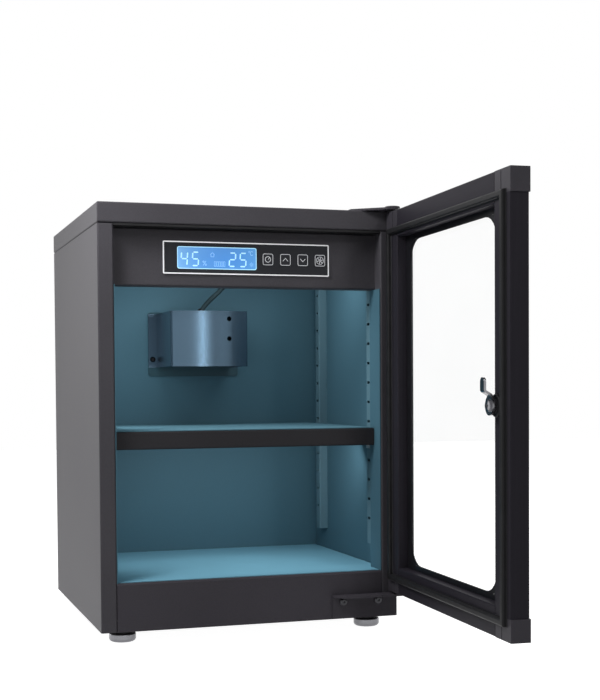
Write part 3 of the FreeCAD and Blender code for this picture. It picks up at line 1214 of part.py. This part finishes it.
# ---------------------------------------------------------------- feet
def feet():
    """Levelling feet: a polished pad on a stud, a black collar and a nut in the base pan."""
    for name, (x, y) in foot_places().items():
        pad = disc(FOOT_R, FOOT_H, x, y, 0)
        low = [e for e in pad.Edges if e.BoundBox.ZMax < TOUCH]
        pad = pad.makeFillet(FOOT_ROUND, low)
        high = [e for e in pad.Edges if e.BoundBox.ZMin > FOOT_H - TOUCH]
        pad = pad.makeFillet(FOOT_TOP_ROUND, high)
        stud = disc(STUD_R, STUD_UP + BASE, x, y, FOOT_H / 2)
        add("foot_" + name, pad.fuse(stud).removeSplitter())
        hole = disc(STUD_R + STUD_PLAY, 4 * BASE, x, y, 0)
        collar = disc(COLLAR_R, BASE - FOOT_H - REST_GAP, x, y, FOOT_H + REST_GAP)
        add("foot_collars", collar.cut(hole))
        hexagon = [(x + NUT_AF / math.sqrt(3) * math.cos(math.pi / 3 * i),
                    y + NUT_AF / math.sqrt(3) * math.sin(math.pi / 3 * i)) for i in range(6)]
        add("foot_nuts", prism(hexagon, "plan", BASE + SHEET, NUT_H).cut(hole))


side_panels()
base_pan()
bottom_rail()
top_cover()
back_panel()
chamber()
mats()
shelf_and_rails()
controls()
humidity_probe()
dryer()
cable()
rear_space()
hinges()
feet()
door()

os.makedirs("parts", exist_ok=True)
for node, solids in NODES.items():
    shape = solids[0] if len(solids) == 1 else Part.makeCompound(solids)
    shape.exportStep(f"parts/{node}.step")
print(len(NODES), "nodes")
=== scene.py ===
import json
import math

import bmesh
import bpy
from mathutils import Matrix, Vector


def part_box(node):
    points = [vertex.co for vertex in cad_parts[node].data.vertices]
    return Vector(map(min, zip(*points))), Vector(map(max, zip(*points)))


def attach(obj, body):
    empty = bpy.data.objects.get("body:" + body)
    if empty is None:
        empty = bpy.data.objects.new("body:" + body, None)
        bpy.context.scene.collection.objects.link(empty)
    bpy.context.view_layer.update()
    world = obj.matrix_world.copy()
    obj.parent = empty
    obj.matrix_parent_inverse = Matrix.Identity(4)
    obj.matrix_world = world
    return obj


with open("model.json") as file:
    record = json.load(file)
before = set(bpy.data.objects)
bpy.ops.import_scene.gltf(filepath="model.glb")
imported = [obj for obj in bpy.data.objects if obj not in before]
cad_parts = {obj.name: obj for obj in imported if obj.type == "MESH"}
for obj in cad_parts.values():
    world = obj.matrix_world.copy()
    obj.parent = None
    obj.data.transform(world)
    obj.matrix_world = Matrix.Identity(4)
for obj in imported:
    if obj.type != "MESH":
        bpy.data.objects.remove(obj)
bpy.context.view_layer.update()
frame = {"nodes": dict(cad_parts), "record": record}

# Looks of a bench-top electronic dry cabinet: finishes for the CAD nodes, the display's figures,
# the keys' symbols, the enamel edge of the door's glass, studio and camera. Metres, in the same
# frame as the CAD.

MM = 0.001

# sockets of a Mix node that mixes colours
MIX_FACTOR, MIX_FIRST, MIX_SECOND, MIX_RESULT = 0, 6, 7, 2


# ---------------------------------------------------------------- shader graphs
class Value:
    """A socket in a node tree. Arithmetic on it adds Math nodes."""

    def __init__(self, graph, socket):
        self.graph, self.socket = graph, socket

    def _math(self, operation, *values, clamp=False):
        return self.graph.node("Math", {"operation": operation, "use_clamp": clamp},
                               dict(enumerate(values)))

    def __add__(self, other):
        return self._math("ADD", self, other)

    def __sub__(self, other):
        return self._math("SUBTRACT", self, other)

    def __rsub__(self, other):
        return self._math("SUBTRACT", other, self)

    def __mul__(self, other):
        return self._math("MULTIPLY", self, other)

    def __truediv__(self, other):
        return self._math("DIVIDE", self, other)

    def __pow__(self, other):
        return self._math("POWER", self, other)

    def __abs__(self):
        return self._math("ABSOLUTE", self)

    __radd__ = __add__
    __rmul__ = __mul__

    def above(self, other):
        return self._math("GREATER_THAN", self, other)

    def larger(self, other):
        return self._math("MAXIMUM", self, other)

    def clamped(self):
        return self._math("ADD", self, 0.0, clamp=True)

    def ramp(self, low, high):
        """0 at low, 1 at high, and straight between them."""
        return ((self - low) / (high - low)).clamped()


class Graph:
    """A node tree that grows by expressions."""

    def __init__(self, tree):
        self.tree = tree

    def feed(self, socket, value):
        """Links a Value to a socket, or sets a constant on it."""
        if isinstance(value, Value):
            self.tree.links.new(value.socket, socket)
        elif isinstance(value, tuple) and len(value) == 3 and len(socket.default_value) == 4:
            socket.default_value = (*value, 1.0)
        else:
            socket.default_value = value

    def node(self, kind, settings=None, sockets=None, output=0):
        """A new node: its settings come first, then what its sockets hold or are linked to."""
        node = self.tree.nodes.new("ShaderNode" + kind)
        for key, value in (settings or {}).items():
            setattr(node, key, value)
        for key, value in (sockets or {}).items():
            self.feed(node.inputs[key], value)
        return Value(self, node.outputs[output])

    def mixed(self, factor, first, second):
        return self.node("Mix", {"data_type": "RGBA"},
                         {MIX_FACTOR: factor, MIX_FIRST: first, MIX_SECOND: second}, MIX_RESULT)


class Finish(Graph):
    """One material, built on its Principled shader."""

    def __init__(self, name):
        self.material = bpy.data.materials.new(name)
        self.material.use_nodes = True
        super().__init__(self.material.node_tree)
        self.shader = self.tree.nodes["Principled BSDF"]

    def set(self, socket, value):
        self.feed(self.shader.inputs[socket], value)

    def place(self):
        """The point's place in the object's own frame, which is the CAD's."""
        return self.node("TexCoord", output="Object")

    def axis(self, name):
        return self.node("SeparateXYZ", sockets={"Vector": self.place()}, output=name)

    def stretched(self, factors):
        return self.node("VectorMath", {"operation": "MULTIPLY"}, {0: self.place(), 1: factors})

    def noise(self, scale, detail=2.0, roughness=0.5, vector=None):
        return self.node("TexNoise", sockets={"Vector": vector or self.place(), "Scale": scale,
                                              "Detail": detail, "Roughness": roughness})

    def tinted(self, mask, colour, darker, lighter):
        """The colour, from a darker to a lighter shade of it as the mask goes from 0 to 1."""
        self.set("Base Color", self.mixed(mask, shade(colour, darker), shade(colour, lighter)))

    def bump(self, height, strength, depth):
        self.set("Normal", self.node("Bump", sockets={"Height": height, "Strength": strength,
                                                      "Distance": depth}))


def shade(colour, factor):
    return tuple(min(1.0, channel * factor) for channel in colour)


# ---------------------------------------------------------------- kinds of finish
PEEL_DEPTH = 0.3 * MM       # orange peel of a sprayed coat
FOAM_DEPTH = 0.2 * MM
SKIN_DEPTH = 0.1 * MM       # spark-eroded or moulded skin
BRUSH_DEPTH = 0.05 * MM
DRAWN_OUT = 0.02            # a brushed grain's scale along its strokes, against across them


def powder_coat(name, colour, rough=0.5, grain=0.25, spread=0.16, peel=900, gloss=0.12):
    """Sprayed coat: a fine orange peel and faint cloudiness."""
    coat = Finish(name)
    dimples = coat.noise(peel)
    cloud = coat.noise(7, detail=3.0)
    tone = cloud * 0.55 + dimples * 0.45
    coat.tinted(tone.ramp(0.3, 0.7), colour, 1 - spread, 1 + spread)
    coat.set("Roughness", rough + (dimples - 0.5) * 0.2 + (cloud - 0.5) * 0.08)
    coat.set("Specular IOR Level", gloss)
    coat.bump(dimples, grain, PEEL_DEPTH)
    return coat.material


def moulded(name, colour, rough=0.5, grain=0.12, gloss=0.15):
    """Injection-moulded plastic with a fine spark-eroded skin."""
    plastic = Finish(name)
    skin = plastic.noise(2200, detail=1.0)
    flow = plastic.noise(24)
    plastic.tinted(flow.ramp(0.3, 0.7), colour, 0.88, 1.12)
    plastic.set("Roughness", rough + (skin - 0.5) * 0.16)
    plastic.set("Specular IOR Level", gloss)
    plastic.bump(skin, grain, SKIN_DEPTH)
    return plastic.material


def soft_rubber(name, colour, rough, gloss=0.15):
    """Rubber with a faint bloom."""
    rubber = Finish(name)
    bloom = rubber.noise(60, detail=3.0)
    rubber.tinted(bloom.ramp(0.35, 0.75), colour, 0.8, 1.35)
    rubber.set("Roughness", rough + (bloom - 0.5) * 0.25)
    rubber.set("Specular IOR Level", gloss)
    rubber.bump(rubber.noise(1500, detail=1.0), 0.1, SKIN_DEPTH)
    return rubber.material


def brushed(name, colour, rough, along, streak=0.08, scale=900, metallic=1.0, gloss=0.5):
    """Metal with a grain drawn along one axis: 'x', 'y' or 'z'."""
    metal = Finish(name)
    factors = tuple(DRAWN_OUT if axis == along else 1 for axis in "xyz")
    grain = metal.noise(scale, 3.0, 0.6, vector=metal.stretched(factors))
    broad = metal.noise(40, vector=metal.stretched(factors))
    metal.tinted((grain * 0.6 + broad * 0.4).ramp(0.3, 0.7), colour, 1 - streak, 1 + streak)
    metal.set("Metallic", metallic)
    metal.set("Roughness", rough + (grain - 0.5) * rough * 0.35)
    metal.set("Specular IOR Level", gloss)
    metal.bump(grain, 0.08, BRUSH_DEPTH)
    return metal.material


def plated(name, colour, rough):
    """Bright plate with faint wipe marks."""
    plate = Finish(name)
    wipe = plate.noise(120, detail=3.0, roughness=0.6)
    plate.tinted(wipe.ramp(0.3, 0.8), colour, 0.9, 1.08)
    plate.set("Metallic", 1.0)
    plate.set("Roughness", rough + (wipe - 0.4) * 0.12)
    return plate.material


def clear_glass(name):
    """Float glass: almost invisible face on, with the faintest smears."""
    glass = Finish(name)
    smear = glass.noise(14, detail=3.0)
    glass.set("Base Color", (0.9, 0.96, 0.94))
    glass.set("Roughness", 0.02 + smear.ramp(0.45, 0.8) * 0.05)
    glass.set("Alpha", 0.035 + smear.ramp(0.4, 0.9) * 0.02)
    glass.set("IOR", 1.45)
    return glass.material


def foam_mat(name, colour):
    """Closed-cell foam sheet."""
    foam = Finish(name)
    cells = foam.node("TexVoronoi", sockets={"Vector": foam.place(), "Scale": 900},
                      output="Distance")
    foam.tinted(foam.noise(9, detail=3.0).ramp(0.3, 0.7), colour, 0.94, 1.06)
    foam.set("Roughness", 0.85 - cells * 0.1)
    foam.set("Specular IOR Level", 0.1)
    foam.bump(cells, 0.2, FOAM_DEPTH)
    return foam.material


def backlit(name, edge, middle, strength):
    """The display's glass, lit from behind: brighter near its middle."""
    glass = Finish(name)
    low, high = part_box("lcd_glass")
    across = glass.axis("X").ramp(low.x, high.x)
    up = glass.axis("Z").ramp(low.z, high.z)
    to_side = (abs(across - 0.55) * 1.7) ** 2.0
    to_rim = (abs(up - 0.45) * 1.3) ** 2.0
    falling = (to_side * 0.75 + to_rim * 0.35 + glass.noise(60) * 0.08).clamped()
    colour = glass.mixed(falling, middle, edge)
    glass.set("Base Color", colour)
    glass.set("Emission Color", colour)
    glass.set("Emission Strength", strength)
    glass.set("Roughness", 0.12 + glass.noise(30) * 0.06)
    return glass.material


def bright_print(name, colour, strength):
    """Figures and symbols of the backlit display, which shine with it, and printed symbols on the
    keys, whose faint shine is painted glow.
    """
    ink = Finish(name)
    tone = ink.mixed(ink.noise(700, detail=1.0), shade(colour, 0.94), shade(colour, 1.04))
    ink.set("Base Color", tone)
    ink.set("Emission Color", tone)
    ink.set("Emission Strength", strength)
    return ink.material


def printed_board(name):
    """Green board with its tracks."""
    board = Finish(name)
    tracks = board.noise(420, detail=1.0).above(0.55)
    board.set("Base Color", board.mixed(tracks * 0.5, (0.01, 0.09, 0.035), (0.03, 0.19, 0.08)))
    board.set("Roughness", 0.4 + tracks * 0.1)
    return board.material


# ---------------------------------------------------------------- the cabinet's finishes
def anodised(name, colour, along):
    return brushed(name, colour, 0.45, along, streak=0.10, scale=700, metallic=0.0, gloss=0.05)


FINISHES = {
    "steel_shell": powder_coat("Charcoal coat", (0.060, 0.057, 0.065)),
    "frame_black": powder_coat("Black coat", (0.050, 0.046, 0.055), grain=0.18),
    "chamber_sheet": powder_coat("Chamber coat", (0.062, 0.140, 0.185), grain=0.08, spread=0.05),
    "mat_blue": foam_mat("Blue foam", (0.175, 0.41, 0.54)),
    "shelf_coat": powder_coat("Shelf coat", (0.026, 0.025, 0.028), grain=0.12, gloss=0.1),
    "rail_grey": powder_coat("Rail coat", (0.100, 0.190, 0.235), rough=0.45, grain=0.08,
                             spread=0.06),
    "zinc": plated("Zinc plate", (0.62, 0.62, 0.63), 0.3),
    # the cover's blue-grey colour is painted reflection: grey stainless tinted with the blue of
    # the chamber it would mirror
    "stainless": brushed("Brushed stainless", (0.075, 0.125, 0.175), 0.22, "z", streak=0.05,
                         scale=3200, metallic=0.8, gloss=0.2),
    "black_plastic": moulded("Black plastic", (0.018, 0.018, 0.020)),
    "panel_black": powder_coat("Panel film", (0.018, 0.019, 0.023), grain=0.3, spread=0.3,
                               peel=1100, gloss=0.15),
    "silver_trim": brushed("Silver line", (0.86, 0.86, 0.88), 0.4, "x", streak=0.05,
                           metallic=0.4),
    "display": backlit("Display", (0.10, 0.33, 0.60), (0.040, 0.205, 0.56), 0.62),
    "board_green": printed_board("Circuit board"),
    "rubber_black": soft_rubber("Black rubber", (0.012, 0.012, 0.013), 0.5),
    "cable_black": soft_rubber("Cable jacket", (0.020, 0.036, 0.042), 0.45),
    "door_alu": anodised("Anodised black", (0.023, 0.021, 0.027), "z"),
    "glass": clear_glass("Clear glass"),
    "border_black": moulded("Enamel border", (0.010, 0.010, 0.012), rough=0.35, grain=0.02),
    "chrome": plated("Bright chrome", (0.27, 0.27, 0.285), 0.2),
    "sink_alu": brushed("Extruded aluminium", (0.72, 0.73, 0.74), 0.35, "z"),
    "ceramic": moulded("White ceramic", (0.80, 0.80, 0.77), rough=0.6),
    "foot_metal": brushed("Turned metal", (0.21, 0.21, 0.225), 0.3, "x", streak=0.03, scale=700,
                          metallic=0.9),
}
# pieces that share a slot with others but not their finish
level_rail = anodised("Anodised black level", (0.021, 0.019, 0.025), "y")
key_film = moulded("Key film", (0.020, 0.021, 0.025), rough=0.45, grain=0.1)
OWN_FINISH = {
    "door_caps": moulded("End cap plastic", (0.042, 0.039, 0.047), grain=0.15),
    # the floor's blue foam at about half its brightness: painted shade on the shelf's mat
    "shelf_mat": foam_mat("Shelf foam", (0.085, 0.185, 0.235)),
    # a mounting plate under the drying unit's cover; its dark coat also stands for the shadow
    # below the cover, so it is partly painted shadow
    "dryer_plate": powder_coat("Plate coat", (0.028, 0.070, 0.090), grain=0.08, spread=0.05,
                               gloss=0.25),
    "case_screws": plated("Blackened screw", (0.040, 0.040, 0.044), 0.3),
    "door_rail_top": level_rail,
    "door_rail_bottom": level_rail,
    "key_1": key_film, "key_2": key_film, "key_3": key_film, "key_4": key_film,
}
figure_light = bright_print("Display figures", (0.36, 0.66, 0.86), 0.72)
dim_light = bright_print("Display symbols", (0.22, 0.48, 0.78), 0.7)
# the keys' grey print shines faintly by its own emission: painted glow, as no light is behind it
key_print_painted_glow = bright_print("Printed grey", (0.62, 0.63, 0.66), 0.34)

slots = {part["node"]: part["material_slot"] for part in frame["record"]["subparts"]}
for node, piece in frame["nodes"].items():
    piece.data.materials.clear()
    piece.data.materials.append(OWN_FINISH.get(node, FINISHES[slots[node]]))


# ---------------------------------------------------------------- thin printed shapes
PRINT_T = 0.06 * MM         # thickness of a print
PRINT_GAP = 0.02 * MM       # print in front of the face that carries it


def printed(name, outlines, y, material, body, turned=None):
    """Flat shapes on a face that looks towards -Y, moving with a body. Each outline is a list of
    (x, z), or a pair of equally long loops, outer and inner, for a ring. 'turned' moves them on
    from there."""
    mesh = bpy.data.meshes.new(name)
    bm = bmesh.new()
    for outline in outlines:
        if isinstance(outline, tuple):
            outer, inner = ([bm.verts.new((x, y, z)) for x, z in loop] for loop in outline)
            count = len(outer)
            for i in range(count):
                j = (i + 1) % count
                bm.faces.new((outer[i], outer[j], inner[j], inner[i]))
        else:
            bm.faces.new([bm.verts.new((x, y, z)) for x, z in outline])
    grown = bmesh.ops.extrude_face_region(bm, geom=bm.faces[:])
    moved = [item for item in grown["geom"] if isinstance(item, bmesh.types.BMVert)]
    bmesh.ops.translate(bm, verts=moved, vec=(0, -PRINT_T, 0))
    bmesh.ops.recalc_face_normals(bm, faces=bm.faces[:])
    bm.to_mesh(mesh)
    bm.free()
    if turned:
        mesh.transform(turned)
    mesh.materials.append(material)
    shape = bpy.data.objects.new(name, mesh)
    bpy.context.scene.collection.objects.link(shape)
    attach(shape, body)


def on_circle(x, z, radius, angle):
    return x + radius * math.cos(angle), z + radius * math.sin(angle)


def rounded(x, z, width, height, radius, steps=6):
    """Loop of a rounded rectangle about (x, z)."""
    loop = []
    for corner, (sx, sz) in enumerate(((1, 1), (-1, 1), (-1, -1), (1, -1))):
        cx = x + sx * (width / 2 - radius)
        cz = z + sz * (height / 2 - radius)
        loop += [on_circle(cx, cz, radius, math.pi / 2 * (corner + i / steps))
                 for i in range(steps + 1)]
    return loop


def round_ring(x, z, radius, line, steps=14):
    return tuple([on_circle(x, z, r, 2 * math.pi * i / steps) for i in range(steps)]
                 for r in (radius, radius - line))


def outline_ring(x, z, width, height, radius, line):
    return (rounded(x, z, width, height, radius),
            rounded(x, z, width - 2 * line, height - 2 * line, max(radius - line, line / 4)))


def bar(start, end, line):
    """A straight stroke from one point to another."""
    a, b = Vector(start), Vector(end)
    run = (b - a).normalized()
    side = Vector((-run.y, run.x)) * line / 2
    return [tuple(a + side), tuple(b + side), tuple(b - side), tuple(a - side)]


def strokes(points, line):
    """Straight strokes from point to point."""
    return [bar(a, b, line) for a, b in zip(points, points[1:])]


def about(x, z, offsets):
    """Points given in millimetres from (x, z)."""
    return [(x + dx * MM, z + dz * MM) for dx, dz in offsets]


# ---------------------------------------------------------------- display
# the strokes of a display figure, their ends as shares of its width and height
STROKES = {"top": ((0, 1), (1, 1)), "middle": ((0, 0.5), (1, 0.5)), "bottom": ((0, 0), (1, 0)),
           "upper_left": ((0, 1), (0, 0.5)), "upper_right": ((1, 1), (1, 0.5)),
           "lower_left": ((0, 0.5), (0, 0)), "lower_right": ((1, 0.5), (1, 0))}
FIGURES = {"4": "upper_left middle upper_right lower_right",
           "5": "top upper_left middle lower_right bottom",
           "2": "top upper_right middle lower_left bottom"}
SLANT = 0.06                # lean of a figure, as a share of its height
FIGURE_W = 6.0 * MM
FIGURE_SHARE = 0.60         # height of a figure, as a share of the display's
FIGURE_LINE = 1.3 * MM
FIGURE_UP = 0.15            # foot of the figures, as a share of the display's height
STROKE_GAP = 0.35           # a stroke's end kept free, in widths of its line
STROKE_TIP = 0.4            # length of its pointed tip, in widths of its line
# each reading's figures, with their left edges as shares of the display's width
READINGS = {"reading_left": (("4", 0.045), ("5", 0.185)),
            "reading_right": (("2", 0.65), ("5", 0.785))}
SYMBOL_LINE = 0.5 * MM


def figure(character, x, z, width, height, line):
    """Outlines of one display figure whose lower left corner is at (x, z)."""
    shapes = []
    for stroke in FIGURES[character].split():
        (ax, az), (bx, bz) = STROKES[stroke]
        a, b = Vector((ax * width, az * height)), Vector((bx * width, bz * height))
        run = (b - a).normalized()
        side = Vector((-run.y, run.x)) * line / 2
        a, b = a + run * line * STROKE_GAP, b - run * line * STROKE_GAP
        tip = run * line * STROKE_TIP
        points = [a, a + tip + side, b - tip + side, b, b - tip - side, a + tip - side]
        shapes.append([(x + p.x + SLANT * p.y, z + p.y) for p in points])
    return shapes


def percent_sign(x, z):
    foot, head, upper, lower = about(x, z, ((0, 0), (2.6, 4.2), (0.2, 3.5), (2.5, 0.7)))
    return [bar(foot, head, SYMBOL_LINE), round_ring(*upper, 0.9 * MM, 0.4 * MM),
            round_ring(*lower, 0.9 * MM, 0.4 * MM)]


def degree_sign(x, z):
    """A small ring and an open oval beside it."""
    ring, middle = about(x, z, ((0, 3.4), (2.6, 2.0)))
    angles = [math.radians(40 + 20 * i) for i in range(15)]
    oval = [(middle[0] + 1.5 * MM * math.cos(angle), middle[1] + 1.9 * MM * math.sin(angle))
            for angle in angles]
    return [round_ring(*ring, 0.75 * MM, 0.35 * MM)] + strokes(oval, SYMBOL_LINE)


def house(x, z):
    corners = about(x, z, ((-2, 2.2), (0, 4), (2, 2.2), (1.5, 2.2), (1.5, 0), (-1.5, 0),
                           (-1.5, 2.2)))
    return strokes(corners + corners[:1], SYMBOL_LINE * 0.8)


def level_cells(x, z):
    """Five upright cells of a level bar."""
    return [outline_ring(x + i * 2.3 * MM, z, 1.9 * MM, 5.0 * MM, 0.3 * MM, 0.35 * MM)
            for i in range(-2, 3)]


def sun(x, z):
    rays = [bar(on_circle(x, z, 1.5 * MM, angle), on_circle(x, z, 2.3 * MM, angle), 0.35 * MM)
            for angle in (math.pi / 4 * i for i in range(8))]
    return [round_ring(x, z, 1.1 * MM, 0.4 * MM, 16)] + rays


# each symbol's place, as shares of the display's width and height
DISPLAY_SYMBOLS = ((percent_sign, 0.325, 0.17), (degree_sign, 0.905, 0.66), (house, 0.44, 0.56),
                   (level_cells, 0.53, 0.24), (sun, 0.935, 0.24))


def display():
    """Two readings, their signs and symbols, and the pale rim."""
    low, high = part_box("lcd_glass")
    width, height = high.x - low.x, high.z - low.z
    y = low.y - PRINT_GAP

    def at(u, v):
        return low.x + u * width, low.z + v * height

    for name, figures in READINGS.items():
        shapes = []
        for character, u in figures:
            shapes += figure(character, *at(u, FIGURE_UP), FIGURE_W, FIGURE_SHARE * height,
                             FIGURE_LINE)
        printed(name, shapes, y, figure_light, "cabinet")
    rim = outline_ring((low.x + high.x) / 2, (low.z + high.z) / 2, width, height, 2.0 * MM,
                       0.75 * MM)
    printed("display_rim", [rim], y, figure_light, "cabinet")
    symbols = []
    for symbol, u, v in DISPLAY_SYMBOLS:
        symbols += symbol(*at(u, v))
    printed("display_symbols", symbols, y, dim_light, "cabinet")


# ---------------------------------------------------------------- keys
KEY_LINE = 0.5 * MM
KEY_OUTLINE = (10.6 * MM, 11.2 * MM, 1.7 * MM)      # width, height and corner radius
FAN_ARMS = 6
FAN_ARM = ((0.9, 0.0), (2.0, 0.25), (3.2, 0.3))     # an arm's points: radius in mm, and turn


def dial(x, z):
    return [round_ring(x, z, 3.0 * MM, KEY_LINE, 28),
            bar((x, z), (x + 1.8 * MM, z + 1.8 * MM), KEY_LINE)]


def arrow(x, z, way):
    """An open arrowhead that points up (way 1) or down (way -1)."""
    left, right_of_tip, left_of_tip, right = about(
        x, z, ((-2.6, -way * 1.3), (0.1, way * 1.6), (-0.1, way * 1.6), (2.6, -way * 1.3)))
    return [bar(left, right_of_tip, KEY_LINE), bar(left_of_tip, right, KEY_LINE)]


def fan(x, z):
    shapes = [round_ring(x, z, 3.9 * MM, KEY_LINE * 0.8, 28),
              round_ring(x, z, 0.8 * MM, KEY_LINE * 0.6)]
    for i in range(FAN_ARMS):
        angle = 2 * math.pi / FAN_ARMS * i
        arm = [on_circle(x, z, radius * MM, angle + turn) for radius, turn in FAN_ARM]
        shapes += strokes(arm, KEY_LINE * 1.1)
    return shapes


def arrow_up(x, z):
    return arrow(x, z, 1)


def arrow_down(x, z):
    return arrow(x, z, -1)


KEY_SYMBOLS = (dial, arrow_up, arrow_down, fan)


def key_symbols():
    """Each key's printed outline and a plain symbol: a dial, up, down and a fan."""
    for number, symbol in enumerate(KEY_SYMBOLS, start=1):
        low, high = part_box(f"key_{number}")
        x, z = (low.x + high.x) / 2, (low.z + high.z) / 2
        printed(f"key_symbol_{number}",
                [outline_ring(x, z, *KEY_OUTLINE, KEY_LINE)] + symbol(x, z),
                low.y - PRINT_GAP, key_print_painted_glow, f"key_body_{number}")


# ---------------------------------------------------------------- enamel edge of the window
WINDOW_UP = 228.25 * MM             # middle of the door's glass
WINDOW_FACE = -166.42 * MM          # its outer face with the door shut
ENAMEL_OUTER = (0.0, 214.0 * MM, 316.5 * MM, 16.0 * MM)         # x, width, height, radius
ENAMEL_INNER = (3.0 * MM, 206.6 * MM, 315.3 * MM, 24.0 * MM)


def window_print():
    """The enamel edge on the door's glass: it narrows the window and rounds its corners. Drawn on
    the shut door, then turned with it to where it stands open."""
    joints = frame["record"]["behaviour"]["joints"]
    swing = next(joint for joint in joints if joint["name"] == "door_swing")
    shut = swing["range_deg"][0]
    pivot = Vector(swing["pos_m"])
    turned = (Matrix.Translation(pivot) @ Matrix.Rotation(math.radians(-shut), 4, "Z")
              @ Matrix.Translation(-pivot))
    ring = tuple(rounded(x, WINDOW_UP, width, height, radius)
                 for x, width, height, radius in (ENAMEL_OUTER, ENAMEL_INNER))
    printed("window_print", [ring], WINDOW_FACE, FINISHES["border_black"], "door",
            turned=turned)


display()
key_symbols()
window_print()


# ---------------------------------------------------------------- studio
WORLD_COLOUR = (0.93, 0.96, 1.0)
WORLD_LIGHT = 0.10
WHITE = (1.0, 1.0, 1.0)
FLOOR_COLOUR = (0.6, 0.6, 0.6)
FLOOR_LIFT = 0.97           # the floor is nearly white by itself; only a shadow darkens it
FLOOR_HALF = 4.0            # half its width
# name, place, the point it faces, its width and height, and its power
LAMPS = (
    ("side_key", (-1.2, 1.0, 0.44), (-0.15, 0.0, 0.24), (0.5, 0.28), 5.5),
    ("near_high", (-0.42, -0.46, 0.76), (-0.10, -0.15, 0.36), (0.2, 0.2), 1.7),
    ("near_graze", (-0.31, -0.26, 0.65), (-0.12, -0.15, 0.38), (0.12, 0.12), 1.7),
    ("door_top", (0.42, -0.85, 0.80), (0.22, -0.40, 0.40), (0.15, 0.15), 1.2),
    ("front_left", (-1.3, -1.6, 0.45), (0.0, 0.0, 0.20), (0.8, 0.8), 0.8),
    ("right_fill", (1.8, 0.75, 0.80), (0.15, 0.0, 0.22), (0.9, 0.9), 9.0),
    ("cover_strip", (0.19, -1.60, 0.38), (0.0, 0.0, 0.30), (0.035, 0.5), 1.6),
)
# soft fill inside the chamber, left out of reflections
CHAMBER_LAMPS = (
    ("upper_glow", (0.01, -0.06, 0.376), (0.01, 0.0, 0.25), (0.23, 0.07), 0.28),
    ("lower_glow", (0.02, -0.075, 0.182), (0.02, 0.02, 0.10), (0.22, 0.05), 0.185),
    ("upper_side", (-0.127, -0.04, 0.29), (0.13, 0.02, 0.28), (0.06, 0.12), 0.14),
    ("lower_side", (-0.127, -0.02, 0.13), (0.13, 0.0, 0.09), (0.10, 0.07), 0.02),
)


def lamp(name, place, target, size, power, mirrored=True):
    """A rectangular lamp that faces a point; 'mirrored' says whether reflections show it."""
    data = bpy.data.lights.new(name, "AREA")
    data.shape, data.energy = "RECTANGLE", power
    data.size, data.size_y = size
    light = bpy.data.objects.new(name, data)
    bpy.context.scene.collection.objects.link(light)
    light.location = place
    light.rotation_euler = (Vector(target) - Vector(place)).to_track_quat("-Z", "Y").to_euler()
    light.visible_glossy = mirrored


def show_white(graph, plain, white, end):
    """The camera, metal and glass see the white here; every other ray meets the plain shader."""
    seen = graph.node("LightPath", output="Is Camera Ray")
    for ray in ("Is Glossy Ray", "Is Transmission Ray"):
        seen = seen.larger(graph.node("LightPath", output=ray))
    both = graph.node("MixShader", sockets={0: seen, 1: plain, 2: white})
    graph.feed(graph.tree.nodes[end].inputs["Surface"], both)


def backdrop():
    world = bpy.data.worlds.new("Studio")
    bpy.context.scene.world = world
    world.use_nodes = True
    sky = Graph(world.node_tree)
    soft = sky.tree.nodes["Background"]
    sky.feed(soft.inputs["Color"], WORLD_COLOUR)
    sky.feed(soft.inputs["Strength"], WORLD_LIGHT)
    white = sky.node("Background", sockets={"Color": WHITE, "Strength": 1.0})
    show_white(sky, Value(sky, soft.outputs[0]), white, "World Output")


def pale_floor():
    mesh = bpy.data.meshes.new("floor")
    corners = [(sx * FLOOR_HALF, sy * FLOOR_HALF, 0)
               for sx, sy in ((-1, -1), (1, -1), (1, 1), (-1, 1))]
    mesh.from_pydata(corners, [], [(0, 1, 2, 3)])
    floor = bpy.data.objects.new("floor", mesh)
    bpy.context.scene.collection.objects.link(floor)
    paint = Finish("Pale floor")
    paint.set("Base Color", FLOOR_COLOUR)
    paint.set("Roughness", 0.9)
    base = Value(paint, paint.shader.outputs[0])
    lift = paint.node("Emission", sockets={"Color": WHITE, "Strength": FLOOR_LIFT})
    show_white(paint, base, paint.node("AddShader", sockets={0: lift, 1: base}),
               "Material Output")
    mesh.materials.append(paint.material)


def studio():
    backdrop()
    pale_floor()
    for row in LAMPS:
        lamp(*row)
    for row in CHAMBER_LAMPS:
        lamp(*row, mirrored=False)


# ---------------------------------------------------------------- camera
CAMERA_PLACE = (-0.3585, -1.4109, 0.2442)
CAMERA_TURN, CAMERA_DIP, CAMERA_ROLL = -17.93, 1.84, -0.38      # degrees
CAMERA_SENSOR, CAMERA_LENS = 36.0, 68.9142857                   # mm
CAMERA_SHIFT = 0.1145714


def camera():
    """A long-lens view from the front left, a little above the middle of the cabinet."""
    data = bpy.data.cameras.new("Camera")
    data.sensor_width, data.lens, data.shift_y = CAMERA_SENSOR, CAMERA_LENS, CAMERA_SHIFT
    seat = bpy.data.objects.new("Camera", data)
    bpy.context.scene.collection.objects.link(seat)
    seat.location = CAMERA_PLACE
    turn, tilt, roll = (math.radians(angle)
                        for angle in (CAMERA_TURN, 90 - CAMERA_DIP, CAMERA_ROLL))
    seat.rotation_euler = (Matrix.Rotation(turn, 3, "Z") @ Matrix.Rotation(tilt, 3, "X")
                           @ Matrix.Rotation(roll, 3, "Z")).to_euler()
    bpy.context.scene.camera = seat


studio()
camera()
bpy.context.scene.view_settings.view_transform = "Standard"
